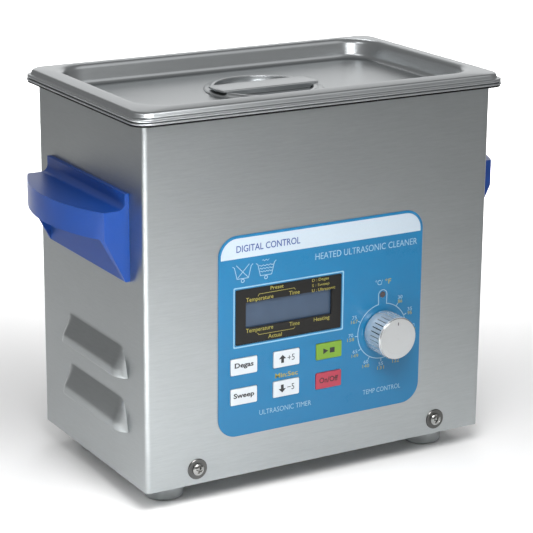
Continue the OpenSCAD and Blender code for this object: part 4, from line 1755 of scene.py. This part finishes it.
    def build(self) -> None:
        """Makes all of the print."""
        self.band()
        self.captions()
        self.yellow()
        self.window_print()
        self.legends()


# ------------------------------------------------------------------ the frame's own nodes


BREAKS: dict[str, EdgeBreak] = {
    "feet": EdgeBreak(0.7, 3),
    "rear_panel": EdgeBreak(0.2),
    "base_pan": EdgeBreak(0.2),
    "mains_inlet": EdgeBreak(0.4, 3),
    "fan_frame": EdgeBreak(0.4, 3),
    "panel_overlay": EdgeBreak(0.12),
}
UNBROKEN = {"wiring_harness", "thermostat_capillary"}


def dress_nodes() -> None:
    """Gives every node of the frame its material, and all but the unbroken ones rounded edges."""
    for part in frame["record"]["subparts"]:
        name, slot = part["node"], part["material_slot"]
        node = frame["nodes"][name]
        DRESSER.dress(node, slot, SLOT_FINISHES[slot])
        if name not in UNBROKEN:
            BREAKS.get(name, EdgeBreak()).apply(node)
        LOG.info("%s: dressed in %s", name, slot)


# ------------------------------------------------------------------ stage


@dataclass(frozen=True)
class Lamp:
    """Soft rectangular light: metres, watts, and the spread of its beam in degrees."""

    name: str
    place: Point
    target: Point
    size: Flat
    power: float
    spread: float = 180.0


@dataclass
class Studio:
    """Pale floor, soft lights and the camera."""

    surround: float = 0.28
    sensor: float = 36.0
    lens: float = 135.8
    eye: Point = (-0.6403, -1.0945, 0.5047)
    right: Point = (0.86441, -0.50280, 0.00763)
    up: Point = (0.13777, 0.25138, 0.95807)
    back: Point = (-0.48361, -0.82706, 0.28654)
    floor_x: float = 6.0
    floor_y: Flat = (-6.0, 9.0)
    lamps: tuple[Lamp, ...] = (
        Lamp("overhead", (-0.165, -0.42, 0.47), (-0.165, -0.42, 0.0), (0.3, 0.3), 4.0, 150.0),
        Lamp("left_floor", (-0.85, 0.1, 0.7), (-0.85, 0.1, 0.0), (0.4, 0.4), 1.2, 120.0),
        Lamp("left_pool", (-0.6, -0.38, 0.42), (-0.6, -0.38, 0.0), (0.2, 0.2), 6.5, 110.0),
        Lamp("behind_near", (0.38, 0.65, 0.75), (0.38, 0.65, 0.0), (0.5, 0.5), 5.0, 95.0),
        Lamp("behind_far", (0.8, 1.35, 1.0), (0.8, 1.35, 0.0), (0.6, 0.6), 9.0, 110.0),
        Lamp("back_panel", (1.6, 2.75, 1.1), (0.0, 0.0, 0.2), (3.0, 1.6), 12.5),
        Lamp("front_sky", (1.2, -1.55, 1.9), (0.0, 0.0, 0.2), (1.5, 1.5), 4.5),
        Lamp("left_key", (-1.0, -0.5, 1.35), (0.0, 0.0, 0.2), (0.45, 0.45), 2.4),
    )

    def floor(self) -> None:
        """Makes the floor."""
        x, (near, far) = self.floor_x, self.floor_y
        mesh = bpy.data.meshes.new("floor")
        corners = [(-x, near, 0.0), (x, near, 0.0), (x, far, 0.0), (-x, far, 0.0)]
        mesh.from_pydata(corners, [], [(0, 1, 2, 3)])
        floor = placed("floor", mesh)
        graph = Graph("floor_paper")
        tooth = graph.noise(0.8, detail=2.0)
        floor.data.materials.append(
            graph.finish(
                Base_Color=graph.blend(tooth, (1.0, 1.0, 1.0), 0.86, 0.88),
                Roughness=0.9,
                Specular_IOR_Level=0.1,
            )
        )

    def light(self, lamp: Lamp) -> None:
        """Hangs a soft rectangular light.

        Args:
            lamp: Which light.
        """
        light = bpy.data.lights.new(lamp.name, "AREA")
        light.shape, light.size, light.size_y, light.energy = "RECTANGLE", *lamp.size, lamp.power
        light.spread = math.radians(lamp.spread)
        holder = placed(lamp.name, light)
        holder.location = lamp.place
        way = Vector(lamp.target) - Vector(lamp.place)
        holder.rotation_euler = way.to_track_quat("-Z", "Y").to_euler()

    def camera(self) -> None:
        """Places the camera."""
        data = bpy.data.cameras.new("camera")
        data.sensor_width, data.lens = self.sensor, self.lens
        data.clip_end = 50.0
        camera = placed("camera", data)
        turn = Matrix((self.right, self.up, self.back)).transposed().to_4x4()
        camera.matrix_world = Matrix.Translation(self.eye) @ turn
        bpy.context.scene.camera = camera

    def build(self) -> None:
        """Makes the stage."""
        scene = bpy.context.scene
        scene.view_settings.view_transform = "Standard"
        world = bpy.data.worlds.new("studio")
        world.use_nodes = True
        backing = world.node_tree.nodes["Background"]
        backing.inputs["Color"].default_value = (1.0, 1.0, 1.0, 1.0)
        backing.inputs["Strength"].default_value = self.surround
        scene.world = world
        self.floor()
        self.camera()
        for lamp in self.lamps:
            self.light(lamp)


def main() -> None:
    """Builds the cleaner's looks."""
    logging.basicConfig(level=logging.INFO, format="%(name)s: %(message)s")
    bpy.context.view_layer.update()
    Studio().build()
    dress_nodes()
    panel = Panel()
    Housing().build(panel.holes())
    Tank().build()
    Lid().build()
    Handle().build()
    Knob().build()
    Screws().build()
    panel.build()


if __name__ == "__main__":
    main()
